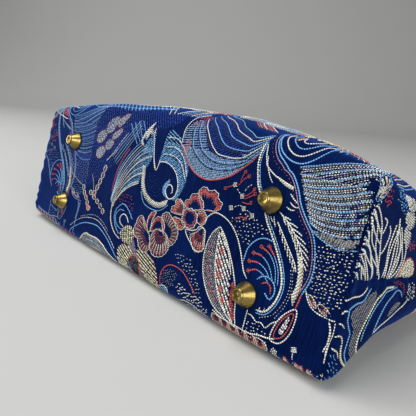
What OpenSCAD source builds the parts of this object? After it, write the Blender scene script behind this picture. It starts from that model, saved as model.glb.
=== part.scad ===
// Chain shoulder bag of brocade with a boxed base on four brass feet, lying on its back panel.
// Millimetres. +X runs along the base, +Y from the base towards the mouth, +Z up from the surface it lies on.

/* [Bag] */
// length of the base
base_length = 280; // [264:2:300]
// depth of the base, front to back
base_depth = 94; // [86:1:104]
// height from the base to the mouth
bag_height = 185; // [170:1:200]
// outside thickness of the mouth at its middle
mouth_gap = 40; // [36:1:46]
// outside thickness of the mouth at the side seams
mouth_end_gap = 13; // [12.5:0.5:16]
// how far each side seam leans out at the mouth
side_flare = 9; // [5:1:14]
// how far the filled front panel stands out in its middle
panel_bulge = 20; // [12:1:22]
// radius of the soft folds along the base
base_fold = 9.5; // [9:0.5:12]
// radius of the boxed-corner seam at the ends of the base
end_fold = 3.5; // [3.5:0.5:6]
// radius between the panels and the gussets
gusset_radius = 22; // [18:1:26]
// depth of the valley along each side seam
gusset_crease = 3; // [1:0.5:4]
// how far the boxed corners stand off the surface the bag lies on
end_lift = 2; // [0:0.5:4]

/* [Cloth] */
// brocade with its bonded interlining
shell_thickness = 2.4; // [2:0.1:2.8]
// lining and facing cloth
lining_thickness = 0.9; // [0.8:0.1:1.2]
// slack between the outer and its facing
cloth_gap = 0.3; // [0.2:0.05:0.4]
// slack between the outer and the lining
lining_slack = 1; // [0.9:0.1:1.2]
// depth of the facing turned in round the mouth
facing_depth = 28; // [26:1:36]

/* [Base] */
// thickness of the base board
board_thickness = 2; // [1.6:0.2:2.4]
// distance of the board's edge from the base edge
board_margin = 15; // [13:1:16]
// corner radius of the board
board_corner = 8; // [5:1:12]

/* [Feet] */
// widest diameter of a foot
foot_diameter = 12.6; // [11.6:0.2:13.4]
// diameter of the foot's end
foot_tip = 6; // [5.6:0.2:6.8]
// height of a foot
foot_height = 7; // [5.5:0.5:8]
// foot centre from the end of the base
foot_from_end = 47; // [44:1:56]
// foot centre from the long edge of the base
foot_from_edge = 24; // [23:1:26]
// diameter of the riveted shank
shank_diameter = 3; // [2.6:0.2:3.4]
// outside diameter of the washers
washer_diameter = 9; // [8:0.5:10]
// thickness of the washers
washer_thickness = 1; // [0.8:0.1:1.2]

/* [Snap] */
// diameter of the magnetic snap
snap_diameter = 17; // [14:1:18]
// thickness of each half of the snap
snap_thickness = 2.6; // [2.2:0.2:3.2]
// snap centre below the mouth
snap_drop = 15; // [13:1:16]

/* [Rings and clasps] */
// distance of each ring from its side seam at the mouth
ring_inset = 22; // [21:0.5:25]
// inside width of the D-rings
ring_inside = 20; // [20:0.5:21]
// wire of the D-rings
ring_wire = 2.8; // [2.6:0.1:3]
// angle at which the rings lean up from the surface
ring_tilt = 9; // [8:0.5:11]
// width of the cloth tabs
tab_width = 18; // [15:1:18]
// thickness of one ply of a tab
tab_ply = 1; // [0.9:0.05:1.1]
// reach of the tabs beyond the mouth
tab_reach = 18; // [17:1:22]
// length of a tab inside the mouth
tab_tail = 16; // [14:1:17]
// inside radius of the clasp hook
hook_inside = 5.4; // [5.3:0.1:5.8]
// width of the hook's bow
hook_band = 2.4; // [2.2:0.1:2.6]
// thickness of the clasp
clasp_thickness = 3.6; // [3.4:0.1:3.8]
// lean of the clasps from upright
clasp_lean = 30; // [26:1:32]
// clasp eye from the middle of the hook
eye_distance = 19; // [18.5:0.5:21]
// hole of the clasp eye
eye_hole = 5.6; // [5.5:0.1:5.8]

/* [Chain] */
// outside length of a link
link_length = 17; // [16.6:0.1:17.4]
// outside width of a link
link_width = 11; // [10.6:0.1:11.4]
// wire of a link
link_wire = 2.6; // [2.4:0.1:2.7]
// play between two pulled links
link_play = 0.4; // [0.3:0.05:0.5]
// depth of the chain's loops behind the clasps
loop_depth = 62; // [58:1:66]

/* [Hidden] */
$fn = 64;
fit = 0.1;
running = 0.08;
seat = 0.05;
// angle between the base and the upright when the bag lies on its back panel
lay_angle = atan(base_depth / 2 / bag_height);
mouth_y = bag_height * cos(lay_angle) / 2;
inner_off = shell_thickness + cloth_gap + lining_thickness;
board_z = shell_thickness + seat;
washer_z = board_z + board_thickness + seat;
rivet_z = washer_z + washer_thickness + seat;
rivet_head = 0.8;
lining_floor = rivet_z + rivet_head + cloth_gap;
foot_x = base_length / 2 - foot_from_end;
foot_y = base_depth / 2 - foot_from_edge;

// one ring of points counts these steps along its parts
front_steps = 9;
corner_steps = 3;
end_steps = 4;
back_steps = 8;
fold_steps = 4;
rise_steps = 11;

// strap fittings, measured on the surface the bag lies on
ring_from_middle = base_length / 2 + side_flare - ring_inset;
bar_y = mouth_y + tab_reach;
bar_z = inner_off + fit + tab_ply;
loop_radius = ring_wire / 2 + running;
ring_radius = (ring_inside + ring_wire) / 2;
apex_y = bar_y + ring_radius * cos(ring_tilt);
apex_z = bar_z + ring_radius * sin(ring_tilt);
// place of the ring's wire inside the hook, across and along the clasp
wire_across = -1.8;
wire_along = -2;
hook_radius = hook_inside + hook_band;
hook_x = -ring_from_middle - wire_across * sin(clasp_lean);
hook_y = apex_y - wire_along;
hook_z = apex_z - wire_across * cos(clasp_lean);
nose_level = -3.8;
gate_level = -3.2;
cheek_level = 4.6;
pivot = [4.2, 7.2];
pivot_radius = 0.7;
gate_thickness = 1.5;
gate_slot = 1.8;
eye_radius = eye_hole / 2 + 2;
eye_thickness = 2.6;

// chain, from the left eye to the right eye
end_wire = (eye_hole - link_wire) / 2 - 0.3;
chain_start = [hook_x, hook_y + eye_distance + end_wire];
link_half = (link_length - link_wire) / 2;
link_side = (link_width - link_wire) / 2;
link_roll = 45;
link_rest = link_side * sin(link_roll) + link_wire / 2 + fit;
chain_drop = 42;

// shape of the standing bag: x along the base, y from front to back, z up

function smooth(t) = let (c = min(max(t, 0), 1)) c * c * (3 - 2 * c);

function seam_x(z) = base_length / 2 + side_flare * z / bag_height;

function back_y(z) = base_depth / 2 * (1 - z / bag_height);

function swell(z) = sin(180 * pow(z / bag_height, 0.62));

// thickness of the bag at height z and at a share of the way to the side seam
function thick(share, z) = let (
    over = 1 - share * share,
    mouth = mouth_end_gap + (mouth_gap - mouth_end_gap) * over
  )
  base_depth + (mouth - base_depth) * pow(z / bag_height, 1.05)
    + panel_bulge * (1 - pow(abs(share), 3)) * swell(z);

// lift of the back panel towards its ends, greatest at the base
function lift(x, z) = let (
    beyond = max(0, abs(x) / seam_x(z) - 0.4) / 0.6,
    left = 1 - z / bag_height
  )
  end_lift * left * left * beyond * beyond;

function fold_inset(h, r) = h >= r ? 0 : r - sqrt(r * r - (r - h) * (r - h));

function front_y(x, z, off) = back_y(z) - thick(x / seam_x(z), z) + off;

// soft corner between panel and gusset, small at the base and at the mouth
function corner_at(z) = end_fold + (gusset_radius - end_fold) * smooth(z / 45);

// the side seam runs straight from the middle of the base to the middle of the mouth's end
function seam_y(z, low, high) = min(max(-mouth_end_gap / 2 * z / bag_height, low + 0.2 * (high - low)),
  high - 0.2 * (high - low));

function crease_at(z) = gusset_crease * sin(180 * z / bag_height);

// one ring round the bag, inset by off, over a floor with folded edges
function half_ring(z, off, floor, fold) = let (
    inset = fold_inset(z - floor, fold),
    x_end = seam_x(z) - off - fold_inset(z - floor, min(fold, end_fold)),
    y_flat = back_y(z) - off / cos(lay_angle) - inset,
    y_back = y_flat - lift(x_end, z),
    y_end = front_y(seam_x(z), z, off) + inset,
    radius = max(0.6, min(corner_at(z) - off, 0.42 * (y_back - y_end))),
    x_corner = x_end - radius,
    y_corner = front_y(x_corner, z, off) + inset,
    low = y_corner + radius,
    high = y_flat - lift(x_corner, z) - radius,
    seam = seam_y(z, low, high)
  )
  concat(
    [for (i = [0 : front_steps - 1])
      let (x = x_corner * i / front_steps)
      [x, front_y(x, z, off) + inset, z]],
    [for (i = [0 : corner_steps])
      let (a = -90 + 90 * i / corner_steps)
      [x_corner + radius * cos(a), low + radius * sin(a), z]],
    [for (i = [1 : end_steps - 1])
      let (s = i / end_steps)
      [
        x_end - min(crease_at(z), 0.22 * (high - low)) * (1 - abs(2 * s - 1)),
        s < 0.5 ? low + (seam - low) * 2 * s : seam + (high - seam) * (2 * s - 1),
        z
      ]],
    [for (i = [0 : corner_steps])
      let (a = 90 * i / corner_steps)
      [x_corner + radius * cos(a), high + radius * sin(a), z]],
    [for (i = [1 : back_steps])
      let (x = x_corner * (1 - i / back_steps))
      [x, y_flat - lift(x, z), z]]
  );

function ring(z, off, floor, fold) = let (
    half = half_ring(z, off, floor, fold),
    n = len(half)
  )
  concat(half, [for (i = [n - 2 : -1 : 1]) [-half[i][0], half[i][1], z]]);

// heights of the rings: round the fold, then up to the top
function levels(floor, fold, top) = concat(
    [for (i = [0 : fold_steps - 1]) floor + fold * (1 - cos(90 * i / fold_steps))],
    [for (i = [0 : rise_steps]) floor + fold + (top - floor - fold) * i / rise_steps]
  );

function skin(floor, fold, top, off) =
  [for (z = levels(floor, fold, top)) ring(z, off, floor, fold)];

function tube(bottom, top, off, steps) =
  [for (i = [0 : steps]) ring(bottom + (top - bottom) * i / steps, off, 0, base_fold)];

function reversed(list) = [for (i = [len(list) - 1 : -1 : 0]) list[i]];

function joined(lists) = [for (list = lists) each list];

// side faces of a stack of rings, closed on itself where loop is true
function sides(rows, n, loop) = [
    for (i = [0 : rows - (loop ? 1 : 2)])
      for (j = [0 : n - 1])
        let (
          k = (i + 1) % rows,
          p = i * n + j,
          q = i * n + (j + 1) % n,
          r = k * n + (j + 1) % n,
          s = k * n + j
        )
        each [[p, s, r], [p, r, q]]
  ];

// a bag-shaped wall with a closed floor, each floor fanned from its middle
module pouch(outer, inner) {
  rings = concat(outer, reversed(inner));
  n = len(outer[0]);
  last = (len(rings) - 1) * n;
  under = len(rings) * n;
  polyhedron(
    points = concat(joined(rings), [[0, 0, outer[0][0][2]], [0, 0, inner[0][0][2]]]),
    faces = concat(
      sides(len(rings), n, false),
      [for (j = [0 : n - 1]) [under, j, (j + 1) % n]],
      [for (j = [0 : n - 1]) [under + 1, last + (j + 1) % n, last + j]]
    ),
    convexity = 6
  );
}

// a band round the bag, open above and below
module band(outer, inner) {
  rings = concat(outer, reversed(inner));
  n = len(outer[0]);
  polyhedron(points = joined(rings), faces = sides(len(rings), n, true), convexity = 6);
}

// lays the standing bag on its back panel
module laid() {
  translate([0, -mouth_y, base_depth / 2 * cos(lay_angle)])
    rotate([-90 - lay_angle, 0, 0])
      children();
}

module at_feet() {
  for (x = [-foot_x, foot_x])
    for (y = [-foot_y, foot_y])
      translate([x, y, 0])
        children();
}

module brocade_shell() {
  color([0.09, 0.15, 0.42])
    laid()
      difference() {
        pouch(
          skin(0, base_fold, bag_height, 0),
          skin(shell_thickness, base_fold - shell_thickness, bag_height, shell_thickness)
        );
        at_feet()
          translate([0, 0, -1])
            cylinder(d = shank_diameter + 2 * fit, h = shell_thickness + 2);
      }
}

module mouth_facing() {
  color([0.12, 0.19, 0.46])
    laid()
      band(
        tube(bag_height - facing_depth, bag_height, inner_off - lining_thickness, 3),
        tube(bag_height - facing_depth, bag_height, inner_off, 3)
      );
}

module lining() {
  fold = base_fold - 3;
  outside = shell_thickness + lining_slack;
  top = bag_height - facing_depth - seat;
  color([0.06, 0.08, 0.2])
    laid()
      pouch(
        skin(lining_floor, fold, top, outside),
        skin(lining_floor + lining_thickness, fold - lining_thickness, top, outside + lining_thickness)
      );
}

module base_board() {
  long = base_length - 2 * board_margin;
  wide = base_depth - 2 * board_margin;
  color([0.25, 0.22, 0.2])
    laid()
      translate([0, 0, board_z])
        difference() {
          linear_extrude(board_thickness)
            union() {
              square([long - 2 * board_corner, wide], center = true);
              square([long, wide - 2 * board_corner], center = true);
              for (x = [-1, 1])
                for (y = [-1, 1])
                  translate([x * (long / 2 - board_corner), y * (wide / 2 - board_corner)])
                    circle(board_corner);
            }
          at_feet()
            translate([0, 0, -1])
              cylinder(d = shank_diameter + 2 * fit, h = board_thickness + 2);
        }
}

// cone with a rolled rim and a dimpled end, its shank riveted over inside the bag
module foot(x, y) {
  wide = foot_diameter / 2;
  tip = foot_tip / 2;
  shank = shank_diameter / 2;
  color([0.45, 0.38, 0.2])
    laid()
      translate([x, y, 0])
        rotate_extrude()
          polygon([
            [0, -foot_height + 0.7],
            [tip * 0.3, -foot_height + 1.1],
            [tip * 0.66, -foot_height + 0.9],
            [tip * 0.8, -foot_height],
            [tip, -foot_height],
            [tip + 0.3, -foot_height + 0.4],
            [tip + 0.3, -foot_height + 0.9],
            [wide - 0.1, -1],
            [wide, -0.7],
            [wide, -seat],
            [shank, -seat],
            [shank, rivet_z],
            [shank + 1, rivet_z],
            [shank + 0.8, rivet_z + rivet_head],
            [0, rivet_z + rivet_head]
          ]);
}

module foot_washers() {
  color([0.5, 0.48, 0.42])
    laid()
      at_feet()
        translate([0, 0, washer_z])
          difference() {
            cylinder(d = washer_diameter, h = washer_thickness);
            translate([0, 0, -1])
              cylinder(d = shank_diameter + 2 * fit, h = washer_thickness + 2);
          }
}

// stud half on the facing of the front panel, square to the cloth there
module snap_stud() {
  z = bag_height - snap_drop;
  slope = atan(front_y(0, z + 1, inner_off) - front_y(0, z, inner_off));
  color([0.5, 0.43, 0.24])
    laid()
      translate([0, front_y(0, z, inner_off) + 4 * fit, z])
        rotate([-90 - slope, 0, 0])
          rotate_extrude()
            polygon([
              [0, 0],
              [snap_diameter / 2 - 0.4, 0],
              [snap_diameter / 2, 0.4],
              [snap_diameter / 2, snap_thickness - 0.6],
              [snap_diameter / 2 - 0.6, snap_thickness],
              [snap_diameter * 0.2, snap_thickness],
              [snap_diameter * 0.17, snap_thickness + 1.6],
              [0, snap_thickness + 1.6]
            ]);
}

module snap_cup() {
  color([0.5, 0.43, 0.24])
    translate([0, mouth_y - snap_drop * cos(lay_angle), inner_off + fit])
      rotate_extrude()
        polygon([
          [0, 0],
          [snap_diameter / 2 - 0.4, 0],
          [snap_diameter / 2, 0.4],
          [snap_diameter / 2, snap_thickness - 0.6],
          [snap_diameter / 2 - 0.6, snap_thickness],
          [snap_diameter * 0.22, snap_thickness],
          [snap_diameter * 0.19, snap_thickness - 1.8],
          [0, snap_thickness - 1.8]
        ]);
}

// folded tab whose loop holds the straight side of the ring
module strap_tab() {
  color([0.1, 0.16, 0.4])
    translate([-ring_from_middle - tab_width / 2, bar_y, bar_z])
      rotate([90, 0, 90])
        linear_extrude(tab_width)
          difference() {
            union() {
              circle(loop_radius + tab_ply);
              translate([-tab_reach - tab_tail, -tab_ply])
                square([tab_reach + tab_tail, 2 * tab_ply]);
            }
            circle(loop_radius);
          }
}

module d_ring() {
  color([0.5, 0.42, 0.22])
    translate([-ring_from_middle, bar_y, bar_z])
      rotate([ring_tilt, 0, 0])
        union() {
          rotate_extrude(angle = 180)
            translate([ring_radius, 0])
              circle(d = ring_wire);
          translate([-ring_radius, 0, 0])
            rotate([0, 90, 0])
              cylinder(d = ring_wire, h = 2 * ring_radius);
          for (x = [-ring_radius, ring_radius])
            translate([x, 0, 0])
              sphere(d = ring_wire);
        }
}

// places a clasp piece drawn flat: across on x, along the clasp on y
module clasp_place() {
  translate([hook_x, hook_y, hook_z])
    rotate([0, clasp_lean - 90, 0])
      children();
}

module clasp() {
  half = clasp_thickness / 2;
  neck = hook_radius - 0.5;
  color([0.48, 0.4, 0.2])
    clasp_place()
      union() {
        difference() {
          translate([0, 0, -half])
            linear_extrude(clasp_thickness)
              difference() {
                union() {
                  circle(hook_radius);
                  polygon([
                    [-neck, 2.4],
                    [-3.6, eye_distance - 4],
                    [3.6, eye_distance - 4],
                    [neck, 2.4]
                  ]);
                }
                circle(hook_inside);
                translate([0, nose_level])
                  square([2 * hook_radius, cheek_level - nose_level]);
              }
          translate([1.8, cheek_level - 2, -gate_slot / 2])
            cube([2 * hook_radius, 6.8, gate_slot]);
        }
        translate([0, 0, -eye_thickness / 2])
          linear_extrude(eye_thickness)
            difference() {
              union() {
                translate([0, eye_distance])
                  circle(eye_radius);
                translate([-3, eye_distance - 5])
                  square([6, 3]);
              }
              translate([0, eye_distance])
                circle(d = eye_hole);
            }
        translate([pivot[0], pivot[1], -half + 0.2])
          cylinder(r = pivot_radius, h = clasp_thickness - 0.4);
      }
}

// sprung lever that closes the hook, with a nub for the thumb
module gate() {
  color([0.55, 0.46, 0.25])
    clasp_place()
      translate([0, 0, -gate_thickness / 2])
        linear_extrude(gate_thickness)
          difference() {
            union() {
              intersection() {
                difference() {
                  circle(hook_radius - 0.1);
                  circle(hook_inside + 0.1);
                }
                translate([0, gate_level])
                  square([hook_radius, cheek_level - 0.4 - gate_level]);
              }
              polygon([
                [pivot[0] - 1.3, pivot[1]],
                [hook_inside - 1.3, 3.4],
                [hook_radius - 0.9, 3.2],
                [pivot[0] + 1.3, pivot[1] + 0.6]
              ]);
              translate(pivot)
                circle(1.5);
              translate([hook_radius + 0.3, 0.8])
                circle(1.3);
            }
            translate(pivot)
              circle(pivot_radius + running);
          }
}

// route of the chain, a loose curve with a loop behind each clasp, in shares of its half span and its depth
function route_knots() = let (
    x = -chain_start[0],
    y = chain_start[1],
    deep = loop_depth
  )
  [
    [-x, y - 0.48 * deep],
    [-x, y],
    [-1.007 * x, y + 0.48 * deep],
    [-0.89 * x, y + 0.87 * deep],
    [-0.67 * x, y + deep],
    [-0.45 * x, y + 0.68 * deep],
    [-0.32 * x, y + 0.25 * deep],
    [-0.16 * x, y - 0.16 * deep],
    [0.014 * x, y - 0.34 * deep],
    [0.2 * x, y - 0.18 * deep],
    [0.37 * x, y + 0.26 * deep],
    [0.49 * x, y + 0.66 * deep],
    [0.7 * x, y + 0.98 * deep],
    [0.9 * x, y + 0.84 * deep],
    [1.007 * x, y + 0.46 * deep],
    [x, y],
    [x, y - 0.48 * deep]
  ];

function curve(p, q, r, s, t) =
  0.5 * (2 * q + (r - p) * t + (2 * p - 5 * q + 4 * r - s) * t * t + (3 * q - p - 3 * r + s) * t * t * t);

curve_steps = 12;

function route_points(k) = concat(
    [for (i = [1 : len(k) - 3])
      for (j = [0 : curve_steps - 1])
        curve(k[i - 1], k[i], k[i + 1], k[i + 2], j / curve_steps)],
    [k[len(k) - 2]]
  );

function lengths(points) = [
    for (i = 0, d = 0; i < len(points); i = i + 1, d = d + (i < len(points) ? norm(points[i] - points[i - 1]) : 0))
      d
  ];

route = route_points(route_knots());
run = lengths(route);
route_length = run[len(run) - 1];

// point of the route at a length along it
function route_at(s) = let (
    i = min(len([for (d = run) if (d <= s) 1]), len(run) - 1),
    t = (s - run[i - 1]) / (run[i] - run[i - 1])
  )
  route[i - 1] + (route[i] - route[i - 1]) * t;

// height of the chain: from the clasp eyes down to the surface
function route_z(s) = link_rest + (hook_z - link_rest) * (1 - smooth(min(s, route_length - s) / chain_drop));

function chain_point(s) = let (p = route_at(s)) [p[0], p[1], route_z(s)];

pitch_wanted = 2 * link_half - link_wire - link_play;
link_count = 2 * round((route_length - 2 * link_half) / pitch_wanted / 2) + 1;
pitch = (route_length - 2 * link_half) / (link_count - 1);

// oval link of round wire, long side on y
module link() {
  straight = link_half - link_side;
  union() {
    for (turn = [0, 180])
      rotate([0, 0, turn])
        translate([0, straight, 0])
          rotate_extrude(angle = 180)
            translate([link_side, 0])
              circle(d = link_wire);
    for (x = [-link_side, link_side])
      translate([x, -straight, 0])
        rotate([-90, 0, 0])
          cylinder(d = link_wire, h = 2 * straight);
  }
}

module chain() {
  color([0.5, 0.42, 0.22])
    for (i = [0 : link_count - 1])
      let (
        s = link_half + i * pitch,
        tail = chain_point(s - link_half * 0.99),
        head = chain_point(s + link_half * 0.99),
        way = head - tail,
        flat = norm([way[0], way[1]])
      )
      translate((tail + head) / 2)
        rotate([0, 0, atan2(-way[0], way[1])])
          rotate([atan2(way[2], flat), 0, 0])
            rotate([0, i % 2 == 0 ? link_roll : -link_roll, 0])
              link();
}

brocade_shell();
mouth_facing();
lining();
base_board();
foot(-foot_x, -foot_y);  // foot_front_left
foot(foot_x, -foot_y);  // foot_front_right
foot(-foot_x, foot_y);  // foot_back_left
foot(foot_x, foot_y);  // foot_back_right
foot_washers();
snap_stud();
snap_cup();
strap_tab();  // strap_tab_left
mirror([1, 0, 0]) strap_tab();  // strap_tab_right
d_ring();  // d_ring_left
mirror([1, 0, 0]) d_ring();  // d_ring_right
clasp();  // clasp_left
mirror([1, 0, 0]) clasp();  // clasp_right
gate();  // gate_left
mirror([1, 0, 0]) gate();  // gate_right
chain();
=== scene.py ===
"""Looks of the brocade chain shoulder bag: woven cloth, lining, tabs, brass, floor, light and camera."""

import math

import bpy
import numpy as np
from bpy.props import FloatProperty, FloatVectorProperty, PointerProperty
from mathutils import Matrix


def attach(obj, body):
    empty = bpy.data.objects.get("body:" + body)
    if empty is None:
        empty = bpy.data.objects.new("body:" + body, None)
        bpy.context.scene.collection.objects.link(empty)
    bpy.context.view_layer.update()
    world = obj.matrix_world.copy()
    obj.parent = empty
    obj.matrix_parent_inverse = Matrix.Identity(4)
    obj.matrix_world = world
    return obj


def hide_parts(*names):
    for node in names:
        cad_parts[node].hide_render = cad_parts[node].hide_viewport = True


bl_info = {
    "name": "Brocade chain bag",
    "version": (1, 0, 0),
    "blender": (4, 0, 0),
    "location": "View3D > Sidebar > Bag",
    "description": "Dresses the packed frame of a brocade shoulder bag",
    "category": "Object",
}

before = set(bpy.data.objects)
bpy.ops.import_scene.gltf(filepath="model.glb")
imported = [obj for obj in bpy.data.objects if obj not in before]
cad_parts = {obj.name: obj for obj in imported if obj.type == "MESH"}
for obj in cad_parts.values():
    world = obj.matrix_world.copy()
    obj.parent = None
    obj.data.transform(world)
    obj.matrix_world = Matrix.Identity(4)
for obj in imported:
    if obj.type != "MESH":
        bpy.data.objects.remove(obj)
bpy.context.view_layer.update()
MM = 0.001
# share of its written width that a thread line has on the cloth, and share of that at a thread's ends
SLIM = 0.85
THREAD_END = 0.7
# millimetres that the edges of a thread sit in the cloth
THREAD_ROOT = 0.1
# flat places in millimetres: top of the front bands, back edge of the base's figure, half widths of the
# panels' figure, and the height above which it runs on to the side seams
BANDS_TOP, BASE_BACK, FRONT_HALF, BACK_HALF, ENDS_TOP = 66, -40, 126, 120, 122
# thread colours where two wefts show together, with the share of the first
MIXED_INKS = {
    "pearl": ("cream", "grey", 0.62),
    "lilac": ("coral", "sky", 0.5),
    "wine": ("coral", "ink", 0.55),
    "mist": ("grey", "sky", 0.5),
    "umber": ("coral", "ink", 0.24),
}


def length(name, text, value):
    return FloatProperty(name=name, description=text, default=value, subtype="DISTANCE", unit="LENGTH",
                         precision=4)


def colour(name, text, value):
    return FloatVectorProperty(name=name, description=text, default=value, subtype="COLOR_GAMMA",
                               min=0, max=1)


def number(name, text, value, unit="NONE"):
    return FloatProperty(name=name, description=text, default=value, unit=unit)


class BagShape(bpy.types.PropertyGroup):
    """Sizes of the standing bag, the same as in the part's source"""

    base_length: length("Base length", "Length of the base", 0.280)
    base_depth: length("Base depth", "Depth of the base, front to back", 0.094)
    bag_height: length("Height", "Height from the base to the mouth", 0.185)
    mouth_gap: length("Mouth", "Outside thickness of the mouth at its middle", 0.040)
    mouth_end_gap: length("Mouth ends", "Outside thickness of the mouth at the side seams", 0.013)
    side_flare: length("Flare", "How far each side seam leans out at the mouth", 0.009)
    panel_bulge: length("Bulge", "How far the filled front panel stands out", 0.020)
    base_fold: length("Base fold", "Radius of the soft folds along the base", 0.0095)
    end_fold: length("End fold", "Radius of the boxed-corner seams", 0.0035)
    gusset_radius: length("Gusset radius", "Radius between the panels and the gussets", 0.022)
    gusset_crease: length("Gusset crease", "Depth of the valley along each side seam", 0.003)
    end_lift: length("End lift", "How far the boxed corners stand off the surface", 0.002)
    shell_thickness: length("Shell", "Brocade with its interlining", 0.0024)
    lining_thickness: length("Lining", "Lining and facing cloth", 0.0009)
    cloth_gap: length("Facing slack", "Slack between the outer and its facing", 0.0003)
    lining_slack: length("Lining slack", "Slack between the outer and the lining", 0.001)
    lining_floor: length("Lining floor", "Height of the lining's floor above the base", 0.00665)
    facing_depth: length("Facing", "Depth of the facing turned in at the mouth", 0.028)
    foot_from_end: length("Foot from end", "Foot centre from the end of the base", 0.047)
    foot_from_edge: length("Foot from edge", "Foot centre from the long edge", 0.024)
    foot_diameter: length("Foot", "Widest diameter of a foot", 0.0126)
    ring_inset: length("Ring inset", "Distance of each ring from its side seam at the mouth", 0.022)
    ring_wire: length("Ring wire", "Wire of the D-rings", 0.0028)
    tab_width: length("Tab width", "Width of the cloth tabs", 0.018)
    tab_ply: length("Tab ply", "Thickness of one ply of a tab", 0.001)
    tab_reach: length("Tab reach", "Reach of the tabs beyond the mouth", 0.018)
    tab_tail: length("Tab tail", "Length of a tab inside the mouth", 0.016)


class BagFigure(bpy.types.PropertyGroup):
    """Threads of the brocade"""

    repeat: length("Repeat", "Width of the woven repeat", 0.208)
    rise: length("Rise", "Height from one row of the repeat to the next, which moves half a repeat", 0.118)
    ink: colour("Ink", "Ground satin", (0.012, 0.043, 0.175))
    royal: colour("Royal", "Lighter ground thread", (0.07, 0.21, 0.54))
    sky: colour("Sky", "Light blue thread", (0.43, 0.65, 0.88))
    cream: colour("Cream", "Pale thread", (0.92, 0.89, 0.79))
    coral: colour("Coral", "Red thread", (0.70, 0.30, 0.28))
    straw: colour("Straw", "Yellowish thread", (0.89, 0.83, 0.68))
    grey: colour("Grey", "Grey thread", (0.53, 0.53, 0.53))


class BagStage(bpy.types.PropertyGroup):
    """Camera, light and floor"""

    focal: number("Focal length", "Lens on a 36 mm frame", 38.4, "CAMERA")
    place: FloatVectorProperty(name="Camera", description="Camera position", unit="LENGTH",
                               default=(0.2135, -0.2435, 0.1176))
    heading: number("Heading", "From +Y towards -X, degrees", 45.42)
    pitch: number("Pitch", "Downwards, degrees", 15.77)
    roll: number("Roll", "Right side up, degrees", 4.53)
    floor: colour("Floor", "Plain pale floor", (0.74, 0.74, 0.73))
    key: number("Key light", "Power of the overhead lamp", 13.5, "POWER")
    side: number("Side light", "Power of the lamp at the left", 8.5, "POWER")
    fill: number("Fill light", "Power of the lamp at the right", 9.0, "POWER")
    sky: number("Sky", "Strength of the even light", 0.24)


def rising(t):
    """Runs smoothly from 0 at t = 0 to 1 at t = 1."""
    c = np.clip(t, 0, 1)
    return c * c * (3 - 2 * c)


def waves(p, size, seed):
    """Smooth hills about size millimetres long, mostly between -1 and 1, the same each time for one seed."""
    pick = np.random.RandomState(seed)
    way = pick.normal(size=(7, 3))
    way *= (2 * math.pi / size * pick.uniform(0.7, 1.3, 7) / np.linalg.norm(way, axis=1))[:, None]
    return np.sin(p @ way.T + pick.uniform(0, 6.3, 7)).sum(axis=-1) / 4.2


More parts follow.
